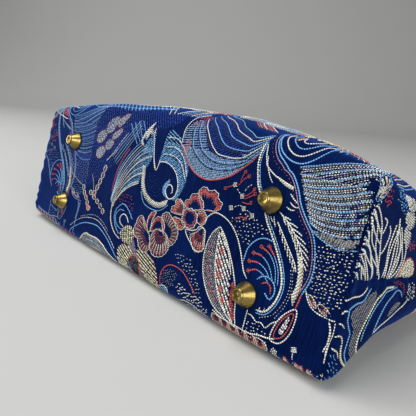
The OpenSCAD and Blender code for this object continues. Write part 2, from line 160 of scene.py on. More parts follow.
class Loft:
    """The standing bag in millimetres: x along the base, y from front to back, z up."""

    # points along the front, each corner, the end and the back of half a ring
    STEPS = (52, 10, 24, 44)
    # millimetres that sag, puckers and seam grooves reach
    SAG, SMALL_SAG, FOLD_RIPPLE = 0.55, 0.3, 0.35
    PUCKER, FOOT_RING = 0.6, 0.35
    CORNER_GROOVE, SIDE_GROOVE = 1.1, 0.8

    def __init__(self, shape):
        for name in shape.__annotations__:
            setattr(self, name, getattr(shape, name) / MM)
        self.lean = math.atan(self.base_depth / 2 / self.bag_height)
        self.mouth_y = self.bag_height * math.cos(self.lean) / 2
        self.foot_x = self.base_length / 2 - self.foot_from_end
        self.foot_y = self.base_depth / 2 - self.foot_from_edge
        self.flat_half = self.base_depth / 2 - self.base_fold
        self.fold_run = self.base_fold * math.pi / 2
        self.inside = self.shell_thickness + self.cloth_gap + self.lining_thickness

    def seam_x(self, z):
        return self.base_length / 2 + self.side_flare * z / self.bag_height

    def back_y(self, z):
        return self.base_depth / 2 * (1 - z / self.bag_height)

    def front_y(self, x, z, off=0.0):
        share = np.abs(x) / self.seam_x(z)
        high = np.clip(z / self.bag_height, 0, 1)
        mouth = self.mouth_end_gap + (self.mouth_gap - self.mouth_end_gap) * (1 - share * share)
        thick = self.base_depth + (mouth - self.base_depth) * high ** 1.05
        thick = thick + self.panel_bulge * (1 - share ** 3) * np.sin(math.pi * high ** 0.62)
        return self.back_y(z) - thick + off

    def lift(self, x, z):
        beyond = np.maximum(0, np.abs(x) / self.seam_x(z) - 0.4) / 0.6
        return self.end_lift * (1 - z / self.bag_height) ** 2 * beyond ** 2

    def inset(self, h, r):
        return 0.0 if h >= r else r - math.sqrt(max(0.0, r * r - (r - h) ** 2))

    def half(self, z, off=0.0, floor=0.0, fold=None, steps=STEPS):
        """Points from the middle of the front round the right end to the middle of the back, at height z."""
        fold = self.base_fold if fold is None else fold
        front, corner, end, back = steps
        inset = self.inset(z - floor, fold)
        x_end = self.seam_x(z) - off - self.inset(z - floor, min(fold, self.end_fold))
        y_flat = self.back_y(z) - off / math.cos(self.lean) - inset
        y_back = y_flat - self.lift(x_end, z)
        y_end = self.front_y(self.seam_x(z), z, off) + inset
        soft = self.end_fold + (self.gusset_radius - self.end_fold) * rising(z / 45)
        radius = max(0.6, min(soft - off, 0.42 * (y_back - y_end)))
        x_corner = x_end - radius
        low = self.front_y(x_corner, z, off) + inset + radius
        high = y_flat - self.lift(x_corner, z) - radius
        seam = np.clip(self.seam_y(z), low + 0.2 * (high - low), high - 0.2 * (high - low))
        crease = min(self.gusset_crease * math.sin(math.pi * z / self.bag_height), 0.22 * (high - low))
        x = x_corner * np.arange(front) / front
        parts = [np.column_stack([x, self.front_y(x, z, off) + inset])]
        turn = np.linspace(-math.pi / 2, 0, corner + 1)
        parts.append(np.column_stack([x_corner + radius * np.cos(turn), low + radius * np.sin(turn)]))
        s = np.arange(1, end) / end
        y = np.where(s < 0.5, low + (seam - low) * 2 * s, seam + (high - seam) * (2 * s - 1))
        parts.append(np.column_stack([x_end - crease * (1 - np.abs(2 * s - 1)), y]))
        turn = np.linspace(0, math.pi / 2, corner + 1)
        parts.append(np.column_stack([x_corner + radius * np.cos(turn), high + radius * np.sin(turn)]))
        x = x_corner * (1 - np.arange(1, back + 1) / back)
        parts.append(np.column_stack([x, y_flat - self.lift(x, z)]))
        flat = np.vstack(parts)
        return np.column_stack([flat, np.full(len(flat), z)])

    def seam_y(self, z):
        return -self.mouth_end_gap / 2 * z / self.bag_height

    def ring(self, z, **how):
        half = self.half(z, **how)
        return np.vstack([half, half[-2:0:-1] * (-1, 1, 1)])

    def seam_index(self):
        front, corner, end = self.STEPS[:3]
        return front + corner + end // 2

    def turned(self, n):
        """Turns standing directions with the bag."""
        c, s = math.cos(self.lean), math.sin(self.lean)
        x, y, z = n[..., 0], n[..., 1], n[..., 2]
        return np.stack([x, -y * s + z * c, -y * c - z * s], axis=-1)

    def laid(self, p):
        """Lays standing points on the back panel."""
        shift = (0, -self.mouth_y, self.base_depth / 2 * math.cos(self.lean))
        return self.turned(np.asarray(p, float)) + shift

    def sculpt(self, p, n):
        """How far the sagging, sewn cloth stands off the loft."""
        x, y, z = p[..., 0], p[..., 1], p[..., 2]
        far = np.abs(x)
        # sag of the panels and ripples beside the base's long folds, both calmer towards the mouth
        d = self.SAG * waves(p, 62, 3) + self.SMALL_SAG * waves(p, 24, 5)
        ripples = self.FOLD_RIPPLE * waves(p * (1, 0.3, 0.3), 30, 8)
        d += ripples * np.exp(-((z - 3) / 6) ** 2) * rising((np.abs(y) - 25) / 8)
        d *= 1 - 0.6 * rising((z - self.bag_height + 22) / 18)
        # puckers and groove of the boxed-corner seams
        boxed = np.hypot(far - self.base_length / 2 + 1, z - 1)
        d += self.PUCKER * np.sin(y * 0.72 + 1.4 * np.sin(y / 5 + x)) * np.exp(-boxed / 7)
        d -= self.CORNER_GROOVE * np.exp(-(boxed / 0.85) ** 2)
        # puckers and groove of the side seams
        ended = rising((far - self.seam_x(z) + 16) / 8) * rising(z / 12)
        ended = ended * rising((self.bag_height - z) / 14)
        side = np.abs(y - self.seam_y(z))
        d += ended * self.PUCKER * np.sin(z * 0.6 + 1.5 * np.sin(z / 7 + x)) * np.exp(-side / 8)
        d -= ended * self.SIDE_GROOVE * np.exp(-(side / 1.2) ** 2)
        # flat under each foot, with a low ring of pushed-up cloth round it
        foot = np.hypot(far - self.foot_x, np.abs(y) - self.foot_y) + np.where(z < 1, 0, 99)
        d = d * rising((foot - 7) / 6) + self.FOOT_RING * np.exp(-((foot - 10.5) / 2.2) ** 2)
        # only shallow dents where the cloth lies on the floor
        under = rising((-self.turned(n)[..., 2] - 0.5) / 0.4)
        return d * (1 - under) + np.minimum(d, 0) * 0.4 * under

    def skin(self, levels, **how):
        return np.array([self.ring(z, **how) for z in levels])

    def levels(self, floor, fold, top, fold_steps, rise_steps):
        """Heights of stacked rings, close together round the fold at the floor."""
        turn = np.linspace(0, math.pi / 2, fold_steps + 1)[:-1]
        return list(floor + fold * (1 - np.cos(turn))) + list(np.linspace(floor + fold, top, rise_steps + 1))


def grid_normals(p):
    """Outward normals of stacked rings."""
    along = np.roll(p, -1, axis=1) - np.roll(p, 1, axis=1)
    n = np.cross(along, np.gradient(p, axis=0))
    return n / np.maximum(np.linalg.norm(n, axis=-1, keepdims=True), 1e-9)


class Cloth:
    """The outer cloth with its sag, and the way from the flat cut cloth to it."""

    # millimetres that threads keep clear of side seams, lip, feet and the ends of the base
    SEAM_CLEAR, LIP_CLEAR, FOOT_CLEAR, BASE_END_CLEAR = 0.9, 1.5, 0.3, 0.6
    # run along the base and rise above it that stay plain at the boxed corners, in millimetres
    CORNER_RUN, CORNER_RISE = 4, 1.1

    def __init__(self, loft):
        self.loft = loft
        z = loft.levels(0, loft.base_fold, loft.bag_height - 0.8, 9, 70)
        p = loft.skin(z)
        n = grid_normals(p)
        n[0] = (0, 0, -1)
        p = p + n * loft.sculpt(p, n)[..., None]
        self.z = np.array(z)
        self.points = p
        self.normals = grid_normals(p)
        self.normals[0] = (0, 0, -1)
        step = np.linalg.norm(np.roll(p, -1, axis=1) - p, axis=-1)
        self.run = np.concatenate([np.zeros((len(z), 1)), np.cumsum(step, axis=1)], axis=1)
        self.seam = self.run[:, loft.seam_index()]

    def height(self, b):
        """Standing height of flat places."""
        q = np.abs(b) - self.loft.flat_half
        r = self.loft.base_fold
        fold = r * (1 - np.cos(np.clip(q / r, 0, math.pi / 2)))
        return np.where(q <= 0, 0, np.where(q < self.loft.fold_run, fold, r + q - self.loft.fold_run))

    def flat_of_ring(self, i):
        """Flat places of one ring's points."""
        n = self.points.shape[1]
        s = self.run[i, :n]
        k = self.loft.seam_index()
        order = np.arange(n)
        back = (order > k) & (order < n - k)
        a = np.where(back, self.run[i, n] / 2 - s, np.where(order <= k, s, s - self.run[i, n]))
        r = self.loft.base_fold
        h = self.z[i]
        turn = r * math.acos(max(-1.0, 1 - h / r)) if h < r else self.loft.fold_run + h - r
        return np.column_stack([a, np.where(back, -1, 1) * (self.loft.flat_half + turn)])

    def inside(self, a, b):
        """Which flat places lie on the cloth, clear of seams and feet."""
        loft = self.loft
        z = self.height(b)
        seam = np.interp(z, self.z, self.seam)
        half = np.interp(z, self.z, self.run[:, -1]) / 2
        base_edge = loft.base_length / 2 - self.BASE_END_CLEAR
        side_edge = np.where(b > 0, seam, half - seam) - self.SEAM_CLEAR
        edge = np.where(np.abs(b) <= loft.flat_half, base_edge, side_edge)
        foot = np.hypot(np.abs(a) - loft.foot_x, np.abs(b) - loft.foot_y)
        off_foot = foot > loft.foot_diameter / 2 + self.FOOT_CLEAR
        between_corners = np.abs(a) < loft.base_length / 2 - self.CORNER_RUN
        off_corner = between_corners | (z < 1e-6) | (z > self.CORNER_RISE)
        return (np.abs(a) < edge) & (z < loft.bag_height - self.LIP_CLEAR) & off_foot & off_corner

    def place(self, a, b):
        """Laid points and normals under flat places, in millimetres."""
        loft = self.loft
        z = self.height(b)
        out = np.zeros((len(a), 3))
        nor = np.zeros((len(a), 3))
        i = np.clip(np.searchsorted(self.z, z, side="right") - 1, 0, len(self.z) - 2)
        t = (z - self.z[i]) / (self.z[i + 1] - self.z[i])
        for k in np.unique(i):
            pick = np.nonzero(i == k)[0]
            for row, weight in ((k, 1 - t[pick]), (k + 1, t[pick])):
                whole = self.run[row, -1]
                s = np.where(b[pick] > 0, a[pick], whole / 2 - a[pick]) % whole
                for axis in range(3):
                    line = self.points[row, :, axis]
                    out[pick, axis] += weight * np.interp(s, self.run[row], np.append(line, line[0]))
                    line = self.normals[row, :, axis]
                    nor[pick, axis] += weight * np.interp(s, self.run[row], np.append(line, line[0]))
        flat = np.nonzero(np.abs(b) <= loft.flat_half)[0]
        if len(flat):
            out[flat], nor[flat] = self.base(a[flat], b[flat])
        nor /= np.maximum(np.linalg.norm(nor, axis=1, keepdims=True), 1e-9)
        return loft.laid(out), loft.turned(nor)

    def base(self, a, b):
        """Standing points and normals of the base under flat places."""
        loft = self.loft
        give = np.where(b < 0, 1 - loft.lift(a, 0.0) / loft.flat_half, 1)
        start = loft.base_length / 2 - loft.end_fold
        turn = np.clip((np.abs(a) - start) / loft.end_fold, 0, 1.2)
        x = np.sign(a) * (np.minimum(np.abs(a), start) + loft.end_fold * np.sin(turn))
        p = np.column_stack([x, -b * give, loft.end_fold * (1 - np.cos(turn))])
        n = np.column_stack([np.sign(a) * np.sin(turn), np.zeros(len(a)), -np.cos(turn)])
        return p + n * loft.sculpt(p, n)[:, None], n


def knots(text):
    """Points written as 'a b, a b'."""
    return np.array([[float(v) for v in pair.split()] for pair in text.split(",")])


def curve(points, closed=False, step=1.3):
    """Smooth line through points, evenly spaced."""
    p = knots(points) if isinstance(points, str) else np.asarray(points, float)
    if closed:
        q = np.vstack([p[-1], p, p[0], p[1]])
    else:
        q = np.vstack([2 * p[0] - p[1], p, 2 * p[-1] - p[-2]])
    t = np.linspace(0, 1, 13)[:-1, None]
    line = []
    for a, b, c, d in zip(q[:-3], q[1:-2], q[2:-1], q[3:]):
        bend = 2 * a - 5 * b + 4 * c - d
        twist = 3 * b - a - 3 * c + d
        line.append(0.5 * (2 * b + (c - a) * t + bend * t ** 2 + twist * t ** 3))
    line = np.vstack(line + [q[-2][None]])
    run = np.concatenate([[0], np.cumsum(np.linalg.norm(np.diff(line, axis=0), axis=1))])
    s = np.linspace(0, run[-1], max(9 if closed else 3, int(run[-1] / step) + 1))
    return np.column_stack([np.interp(s, run, line[:, 0]), np.interp(s, run, line[:, 1])])


def evened(line, count):
    """The same line with a given number of points."""
    t = np.linspace(0, len(line) - 1, count)
    return np.column_stack([np.interp(t, np.arange(len(line)), line[:, k]) for k in (0, 1)])


def beside(line, gap):
    """The same line moved to its left by gap."""
    way = np.gradient(line, axis=0)
    way /= np.maximum(np.linalg.norm(way, axis=1, keepdims=True), 1e-9)
    return line + np.column_stack([-way[:, 1], way[:, 0]]) * gap


class Figure:
    """The woven figure as threads on the flat cloth, in millimetres.

    Each stroke has a colour, flat points, a width and a height.
    """

    def __init__(self):
        self.strokes = []
        self.chance = np.random.default_rng(7)

    def line(self, ink, points, width=0.9, height=0.3, closed=False):
        path = curve(points, closed)
        self.strokes.append((ink, path, width * SLIM, height))
        return path

    def lines(self, ink, rows, width=0.8, height=0.32):
        for row in rows:
            self.line(ink, row, width, height)

    def dash(self, ink, points, width=0.8, long=1.0, gap=0.7, height=0.26):
        """A line broken into short straight floats."""
        path = curve(points, step=0.25)
        first = int(self.chance.uniform(0, long + gap) * 4)
        for i in range(first, len(path) - 1, max(2, int((long + gap) * 4))):
            bit = path[i:i + max(2, int(long * 4) + 1)]
            if len(bit) > 1:
                self.strokes.append((ink, bit[[0, -1]], width * SLIM, height))

    def rope(self, ink, points, width=3.0, pitch=1.3, slant=0.9):
        """A band of slanting turns along a line."""
        path = curve(points, step=pitch)
        left, right = beside(path, width / 2), beside(path, -width / 2)
        lead = np.gradient(path, axis=0) * slant
        for a, b, k in zip(left, right, lead):
            self.strokes.append((ink, np.array([a + k, (a + b) / 2, b - k]), pitch * 0.85, 0.34))

    def rows(self, outline, pitch, angle):
        """Parallel cuts through a closed outline."""
        shape = curve(outline, closed=True)
        c, s = math.cos(math.radians(angle)), math.sin(math.radians(angle))
        turn = np.array([[c, -s], [s, c]])
        p = shape @ turn
        q = np.roll(p, -1, axis=0)
        for y in np.arange(p[:, 1].min() + pitch / 2, p[:, 1].max(), pitch):
            hit = (p[:, 1] <= y) != (q[:, 1] <= y)
            x = np.sort(p[hit, 0] + (y - p[hit, 1]) / (q[hit, 1] - p[hit, 1]) * (q[hit, 0] - p[hit, 0]))
            for x0, x1 in zip(x[::2], x[1::2]):
                if x1 - x0 > 0.5:
                    yield np.array([[x0, y], [x1, y]]), turn.T

    def floats(self, ink, start, stop, width, height):
        """One straight row of threads, broken into floats of uneven length."""
        whole = np.linalg.norm(stop - start)
        at = 0.0
        while at < whole - 0.4:
            end = min(whole, at + self.chance.uniform(1.5, 3.6))
            share = np.linspace(at, end, 3 if end - at > 2.2 else 2)[:, None] / whole
            self.strokes.append((ink, start + (stop - start) * share, width, height))
            at = end + 0.3

    def fill(self, ink, outline, pitch=0.85, angle=0, height=0.16, cover=1.5):
        """Rows of floats that cover an outline."""
        for ends, turn in self.rows(outline, pitch, angle):
            self.floats(ink, ends[0] @ turn, ends[1] @ turn, pitch * cover, height)

    def dots(self, ink, outline, pitch=1.5, long=1.0, angle=0, width=0.75):
        """Loose short floats, none quite in line with the next."""
        for k, (ends, turn) in enumerate(self.rows(outline, pitch, angle)):
            for x in np.arange(ends[0, 0] + (k % 2) * pitch * 0.6, ends[1, 0] - long, pitch * 1.2):
                at = np.array([x, ends[0, 1]]) + self.chance.uniform(-0.3, 0.3, 2) * pitch
                slope = np.array([1.0, self.chance.uniform(-0.5, 0.5)])
                reach = slope * long * self.chance.uniform(0.35, 0.65)
                self.strokes.append((ink, np.array([at - reach, at + reach]) @ turn, width, 0.28))

    def ribs(self, inks, first, last, count, width=0.8, height=0.3):
        """Lines spread evenly from the first to the last, their colours in turn."""
        a, b = evened(curve(first), 40), evened(curve(last), 40)
        for i in range(count):
            share = i / max(1, count - 1)
            self.line(inks[i % len(inks)], a + (b - a) * share, width, height)

    def blob(self, ink, a, b, size=2.2, angle=45):
        """A small square dab of parallel threads."""
        r = size / 2
        c, s = math.cos(math.radians(angle)) * r, math.sin(math.radians(angle)) * r
        for k in np.arange(-r + 0.35, r, 0.62):
            mid = np.array([a - s / r * k, b + c / r * k])
            self.strokes.append((ink, np.array([mid - (c, s), mid + (c, s)]), 0.72, 0.3))

    def comma(self, ink, points, head=2.0):
        """A thin line with a dab at its end."""
        path = self.line(ink, points, 0.7)
        self.blob(ink, path[-1, 0], path[-1, 1], head, 20)

    def feather(self, ink, spine, barb=4.0, pitch=1.7, lean=0.8, sides=(1, -1)):
        """A spine with barbs on one or both sides, longest in the middle."""
        path = self.line(ink, spine, 0.9)
        run = curve(path, step=pitch)
        way = np.gradient(run, axis=0)
        way /= np.linalg.norm(way, axis=1, keepdims=True)
        side = np.column_stack([-way[:, 1], way[:, 0]])
        for i in range(1, len(run) - 1):
            size = barb * math.sin(math.pi * (i + 0.6) / (len(run) + 0.2)) ** 0.7
            for k in sides:
                tip = run[i] + (side[i] * k * 0.55 + way[i] * lean) * size
                middle = (run[i] + tip) / 2 + side[i] * k * 0.3
                self.strokes.append((ink, curve([run[i], middle, tip]), 0.75, 0.28))

    def petal(self, outline, base, ink="coral", deep=0.4, finger=3.0, rib="pearl", edge="cream",
              open_share=0.2, flush=0.7):
        """A petal of fingers that fan out from its base: bands, ribs between them and a scalloped edge."""
        base = np.array(base)
        root = "wine" if ink == "coral" else ink
        way = curve(outline, closed=True, step=0.5) - base
        far = np.linalg.norm(way, axis=1)
        share = (np.arange(len(way)) * 0.5 / finger) % 1
        swell = 1 + 0.5 * np.sin(math.pi * share) / np.maximum(far, 2)
        self.strokes.append((edge, base + way * swell[:, None], 0.46, 0.36))
        for k in np.flatnonzero(far > 1.8):
            if abs(share[k] - 0.5) < 0.5 - open_share:
                if deep < flush - 0.1:
                    self.floats(root, base + way[k] * deep, base + way[k] * (flush - 0.02), 0.75, 0.2)
                self.floats(ink, base + way[k] * max(deep, flush), base + way[k] * 0.96, 0.75, 0.2)
            elif share[k] < 0.5 / finger and rib:
                self.strokes.append((rib, base + np.outer((0.6, 0.8, 0.97), way[k]), 0.32, 0.28))

    def beads(self, ink, points, pitch=3.0, size=1.3, inside="coral"):
        """A chain of small ovals along a line."""
        path = curve(points, step=pitch)
        way = np.gradient(path, axis=0)
        way *= size / np.linalg.norm(way, axis=1, keepdims=True)
        t = np.linspace(0, 2 * math.pi, 9)[:-1, None]
        for at, along in zip(path, way):
            across = np.array([-along[1], along[0]]) * 0.75
            self.line(ink, at + np.cos(t) * along + np.sin(t) * across, 0.6, 0.34, closed=True)
            self.line(inside, [at - along * 0.4, at, at + along * 0.4], size * 0.6, 0.3)

    def moved(self, a=0.0, b=0.0, flip=False, thin=1.0, swap=None):
        """The strokes in another place of the cloth, thinner or in other colours; the far copy's duller,
        bluer colours are painted sheen.
        """
        turn = np.array([-1 if flip else 1, 1])
        swap = swap or {}
        moved = []
        for ink, path, width, height in self.strokes:
            moved.append((swap.get(ink, ink), path * turn + (a, b), width * thin, height))
        return moved


def blue_horn(f):
    """Blue horn with cream ribs, and the rope along its foot."""
    f.fill("sky", "8 42, 14 42, 21 40, 27 36, 32 30, 34 22, 33 14, 30 8.5, 26 6.5, 28 10, 29 13, 27.5 18,"
           "24 22, 18 25, 12 26, 7 25.5, 7 33", 1.05, -14, 0.16, 1.2)
    f.fill("sky", "20 17.5, 16.5 14.5, 15.5 11, 17.5 8, 22 6.5, 19 9.5, 18.6 12.5, 20.5 15", angle=20)
    f.fill("ink", "8 42, 14 42, 21 40, 27 36, 32 30, 34 22, 33 14, 30 10, 29 13, 27.5 18, 24 22, 18 25,"
           "12 26, 7 25.5, 7 33", 2.4, 40, 0.22, 0.34)
    f.line("cream", "7 25.5, 12 26.3, 18 25.2, 24 21.8, 28 16.5, 28.8 12, 27 8.3, 23 6.7, 19.5 9, 18.5 12,"
           "20.5 14.5, 23.5 14, 25 11.5, 24 10", 1.0, 0.36)
    for row in ("8 30.5, 15 31.2, 22 30, 28 26.3, 33 20", "9 35, 16 36, 22.5 34.5, 28.5 30, 33.7 22",
                "9 40, 18 40, 24 37.5, 29 33.5"):
        path = f.line("cream", row, 0.8, 0.34)
        f.strokes.append(("ink", beside(path, -1.0), 0.7, 0.3))
    f.line("cream", "0.5 28, 2.5 23.5, 5 20, 6.5 23, 7 27")
    f.rope("cream", "-6 20, -4.5 12, -1 6, 4 2.6, 10 1, 16 1.2, 22 4", 3.2)
    f.line("sky", "-3.5 5, 1 -0.8, 8 -2.6, 15 -2.4, 20 -0.4, 24 3.5", 0.7)
    f.dots("royal", "1 18, 8 16, 16 7, 8 5, 1 9", 1.8, 0.6)


def shell_fan(f):
    """Ribbed fan with a coral rim, over the front fold."""
    outer = "22 39, 28 33, 34 28, 40 25, 48 23.5, 56 25, 64 28.5, 71 34, 78.5 41"
    f.fill("mist", outer + ", 78 43.5, 68 39.5, 58 37.2, 47 38, 40 42, 33 48, 26 50, 21 45", 0.9, 6)
    f.fill("royal", "27 46, 31 40, 38 34.5, 46 31, 54 30.6, 62 32, 70 35.5, 78.5 41.5, 80 50, 72 47, 66 49,"
           "58 52, 46 61, 34 66", 0.95, 20, 0.1, 1.2)
    f.line("coral", outer, 1.3, 0.36)
    ribs = ("78.5 41.5, 70 35.5, 62 32, 54 30.6, 46 31, 38 34.5, 31 40, 27 46",
            "80 50, 72 47, 66 49, 58 52, 52 57, 46 61, 40 63, 34 66")
    f.ribs(("sky", "sky", "cream"), *ribs, 7, 0.85, 0.36)
    below = ("78.5 40.7, 70 34.6, 62 31, 54 29.6, 46 30, 38 33.5, 30.4 39.4, 26 45.6",
             "79.6 49.2, 71.6 46.2, 65.4 48.2, 57.4 51.2, 51.4 56.2, 45.4 60.2, 39.6 62.2, 33.6 65.2")
    f.ribs(("ink",), *below, 7, 1.4, 0.26)
    f.line("cream", "22 39, 20 45, 21 52, 25 58", 0.8)
    f.dots("coral", "24 46, 30 45, 33 53, 28 57, 24 54", 1.5, 0.8, 30)
    f.fill("coral", "26 37, 29 36, 30 39, 28 41, 25.5 40", 0.8)


def peonies(f):
    """Petals of the two peonies in the middle of the base."""
    shaded = {"deep": 0.68, "rib": "lilac", "open_share": 0.0}
    f.petal("52 8, 47 14, 47 17.5, 50 19.3, 53.5 18, 56 19, 59.5 18, 60.5 15.5, 63.5 14, 63 11, 60 9,"
            "56 8.5", (53, 7), **shaded)
    f.petal("39 6, 38 9, 41 10.5, 41.5 13, 45 14.5, 48 13.5, 51 11, 51.5 8, 47 6, 43 5", (46, 4), **shaded)
    f.petal("37 1, 29 0.5, 28.5 3.5, 31 5, 30 7.5, 34 8.5, 37.5 6, 38 3", (40, 3), deep=0.3, finger=2.5)
    f.petal("39 -2, 33 -1.5, 31 -3, 34 -4.5, 36 -6.5, 40 -6.5, 42 -4.5, 42 -3", (43, -1), deep=0.3,
            finger=2.5)
    f.petal("39.5 4.5, 44 5.8, 48.5 4, 49.5 0.5, 48 -3, 44.5 -4.2, 40 -3, 38.5 0.5", (44, 1), deep=0.72,
            rib="lilac")
    f.petal("50 1, 49.5 5, 52 6.8, 55 5.5, 56 2, 54 0, 52 0", (50, 1), deep=0.4, finger=2)
    f.petal("48 -7.5, 51.5 -5, 54 -2, 57 -2, 58.3 -7, 59 -11.5, 56 -14, 52 -13.5", (55, -2), deep=0.3,
            finger=2.2)
    f.dots("grey", "44 -5.5, 52 -3, 50 -6.4, 47 -8.4", 1.2, 0.6)
    f.line("cream", "53 -1, 57 -2, 58.3 -7, 59 -11.5, 56 -14, 52 -13.5, 48.5 -11, 45 -8.5, 43 -5.5, 47 -5,"
           "51 -3.5", closed=True)
    f.petal("17 -16, 19 -13, 23 -11.8, 28 -12.5, 31.5 -15.5, 33 -20, 31 -24, 27 -26.5, 22 -27, 18 -24,"
            "16.5 -20", (24, -10), deep=0.3, open_share=0.3, flush=0.84)
    f.petal("15 -15, 15.5 -9, 18 -5.8, 22 -5.5, 25 -8, 25.5 -12, 20 -12.5", (20, -14), deep=0.75, rib=None,
            open_share=0)
    f.petal("14 -16, 10.5 -13, 10 -8, 12 -4.5, 15.5 -3.5, 14 -8", (14, -16), deep=0.8, rib=None, open_share=0)
    f.petal("14 -17, 8 -14, 6 -10, 3 -8.8, 0.5 -11, 0 -15, -1 -18.5, 1 -21.5, 5 -23, 7 -26, 11 -28,"
            "15 -27.5, 17.5 -24, 16 -20", (16, -18), flush=0.82)
    f.petal("26 -13, 22 -5, 22.5 -2.5, 26 -1, 30 -3, 35 -5, 37.3 -8.5, 37.5 -13, 35 -17, 31.5 -18, 29 -14",
            (26, -14), deep=0.55, finger=2.5, open_share=0.35, flush=0.86)


def pod(f):
    """Striped pod with coral seeds."""
    outer = "66.5 2.8, 62.5 -2, 60.5 -9, 61 -17, 64 -25, 70 -32, 78 -37, 86 -39.5, 92 -40.5"
    inner = "67 0, 68 -10, 71.5 -21, 78 -31, 85 -37, 92 -40.5"
    back = ", ".join(reversed([v.strip() for v in inner.split(",")]))
    f.fill("grey", outer + ", " + back, 1.1, 70, 0.15, 1.1)
    f.dash("coral", "64 -4, 63.5 -12, 65.5 -20, 70 -28, 77 -34", 2.0, 2.4, 1.8, 0.36)
    f.dash("lilac", "65.4 -3, 65.2 -12, 67.6 -20, 72 -27.4, 79 -33", 1.6, 2.0, 1.4, 0.3)
    f.fill("cream", inner + ", 88 -35, 83.5 -27, 81 -18, 77 -10.5, 72 -4", 1.9, -46, 0.24, 0.95)
    for a, b in ((71.5, -8.5), (72, -14.8), (74, -20.5), (77.5, -26.8), (80.5, -31.4)):
        f.fill("coral", [(a - 1.9, b + 1.7), (a + 0.6, b + 1.2), (a + 2.2, b - 1.3), (a - 0.4, b - 1.3)],
               0.7, -30, 0.4)
    f.fill("coral", "83.3 -20.5, 85 -22, 86.8 -29, 90.5 -38, 87.5 -36, 84.5 -29", 0.75, 80, 0.3)
    rims = ("66.5 2.8, 71 -1, 77 -8, 82.5 -15.5, 86.5 -24, 89.5 -33, 92 -40.5",
            "68 1, 72 -3, 77.5 -10, 81.5 -17.5")
    f.lines("cream", (outer, inner) + rims, 0.95, 0.36)


def paisley(f):
    """Paisley bands with their feathers and tips."""
    band = f.line("cream", "78.5 46, 80 37, 83 29, 87.5 21.5, 93 14, 98 8, 103 1.5, 107.5 -5.5, 110 -13,"
                  "109 -21, 105.5 -26.5, 101 -27.5", 1.3, 0.34)
    f.strokes.append(("sky", beside(band, 1.3), 0.6, 0.3))
    for k in range(0, len(band) - 1, 2):
        f.strokes.append(("cream", np.array([band[k], band[k] + (0.4, 2.0)]), 0.55, 0.26))
    f.line("cream", "55 1, 57 5.5, 61 8.5, 66 8.3, 72 6.3, 78 1.8, 83 -4.5, 88 -12.5, 92 -17", 0.95)
    f.line("sky", "86.5 -9, 87 -2, 90.5 3, 95 5.3, 100 5.2", 0.95)
    f.dots("cream", "72 8, 80 13, 90 12, 97 8, 91 5, 86 -1, 80 2", 1.9, 0.65, 10)
    rim = f.line("sky", "83 58, 83.6 51, 86 46, 90 42.4, 95 40, 101 36.5, 105.5 31, 109 24.5, 113.5 19,"
                 "118 14, 121 7.5, 122.8 0, 122.5 -6, 120.5 -12.5", 1.0, 0.34)
    f.strokes.append(("lilac", beside(rim, -1.3), 0.7, 0.3))
    f.dash("coral", beside(rim, -2.7)[6:], 0.7, 0.6, 1.4)
    f.line("coral", "120.5 -12.5, 119.6 -19.5", 1.1)
    f.line("cream", "120.5 -19.5, 115.5 -23.5, 112.5 -29.5, 111.5 -36.5, 114.5 -38, 118.5 -35, 121 -28",
           0.9, closed=True)
    f.line("coral", "119.6 -21.5, 116 -25, 113.8 -30, 113.2 -35.5, 117 -34, 119.4 -28", 0.8, closed=True)
    f.fill("cream", "118.4 -23.5, 116 -27, 115 -32, 116.5 -33, 118 -29", 0.8, 70)
    tips = ("91 -3, 96 -3, 101 -6, 105 -12", "90 -7.5, 95 -6.6, 100 -8.4, 103.5 -12",
            "91 -12, 95 -10, 99.5 -11, 103 -13.5", "94.5 1, 100 -1, 104.5 -6, 106.6 -12.5",
            "98.5 2.5, 103 -1.5, 106.5 -7, 108 -13")
    for line in tips:
        path = f.line("sky", line, 0.7)
        f.strokes.append(("coral", path[:5], 1.0, 0.36))
        f.blob("coral", path[0, 0], path[0, 1], 1.9, -20)
    f.line("sky", "97 -14, 99.5 -11.6, 103 -11.2, 106.3 -13.2, 107.6 -17, 106 -20.5, 103 -18.5", 1.0, 0.36)
    f.line("coral", "100 -15, 102.5 -13.6, 104.8 -15, 105.6 -18", 1.1)
    f.dash("cream", "112 -3, 114 -10, 113.6 -18, 110 -26, 104 -30", 0.7, 0.6, 1.0)
    f.dash("cream", "112 -1, 115 -10, 114.8 -19, 111 -28", 0.6, 0.5, 1.2)
    f.line("cream", "96 -28, 96.6 -34, 96.4 -41", 0.8)
    f.line("cream", "97 -31, 100 -31, 102.5 -32.6, 105.5 -32, 108 -33.4, 110.5 -30, 113 -28, 115 -24.5", 0.8)
    f.dots("cream", "99 -34, 110 -35, 111 -41, 98 -41", 1.7, 0.6)
    f.feather("cream", "99 19, 105 15.5, 110.5 10.5, 115 4.5, 117.8 -2", 5.0, 2.9, 1.3)
    f.rope("pearl", "115.4 2, 117.4 -4, 118 -10, 117 -16", 2.6, 1.5, 1.4)
    f.feather("cream", "99.5 14.5, 104 9.5, 108.5 4.5, 113 -0.5, 115 -4", 3.6, 2.8, 1.2, (-1,))
    f.line("cream", "80.5 45, 85 38.5, 90 35, 96 32.8, 103 31", 0.95)
    f.line("cream", "84 41, 87.5 35, 91 30.5", 0.8)
    f.feather("cream", "93 34, 98 32.4, 103.4 31", 2.4, 1.3, 0.9, (-1,))
    for bit in ("102.5 28, 105 26, 107.5 24.6", "103.4 24.5, 105.6 23, 108 23.2",
                "102 22, 104.4 21.2, 106.4 21.6", "93 18, 95 15.5, 97 13.6", "96 17.6, 97.4 14.6, 99 12"):
        f.line("cream", bit, 0.85)


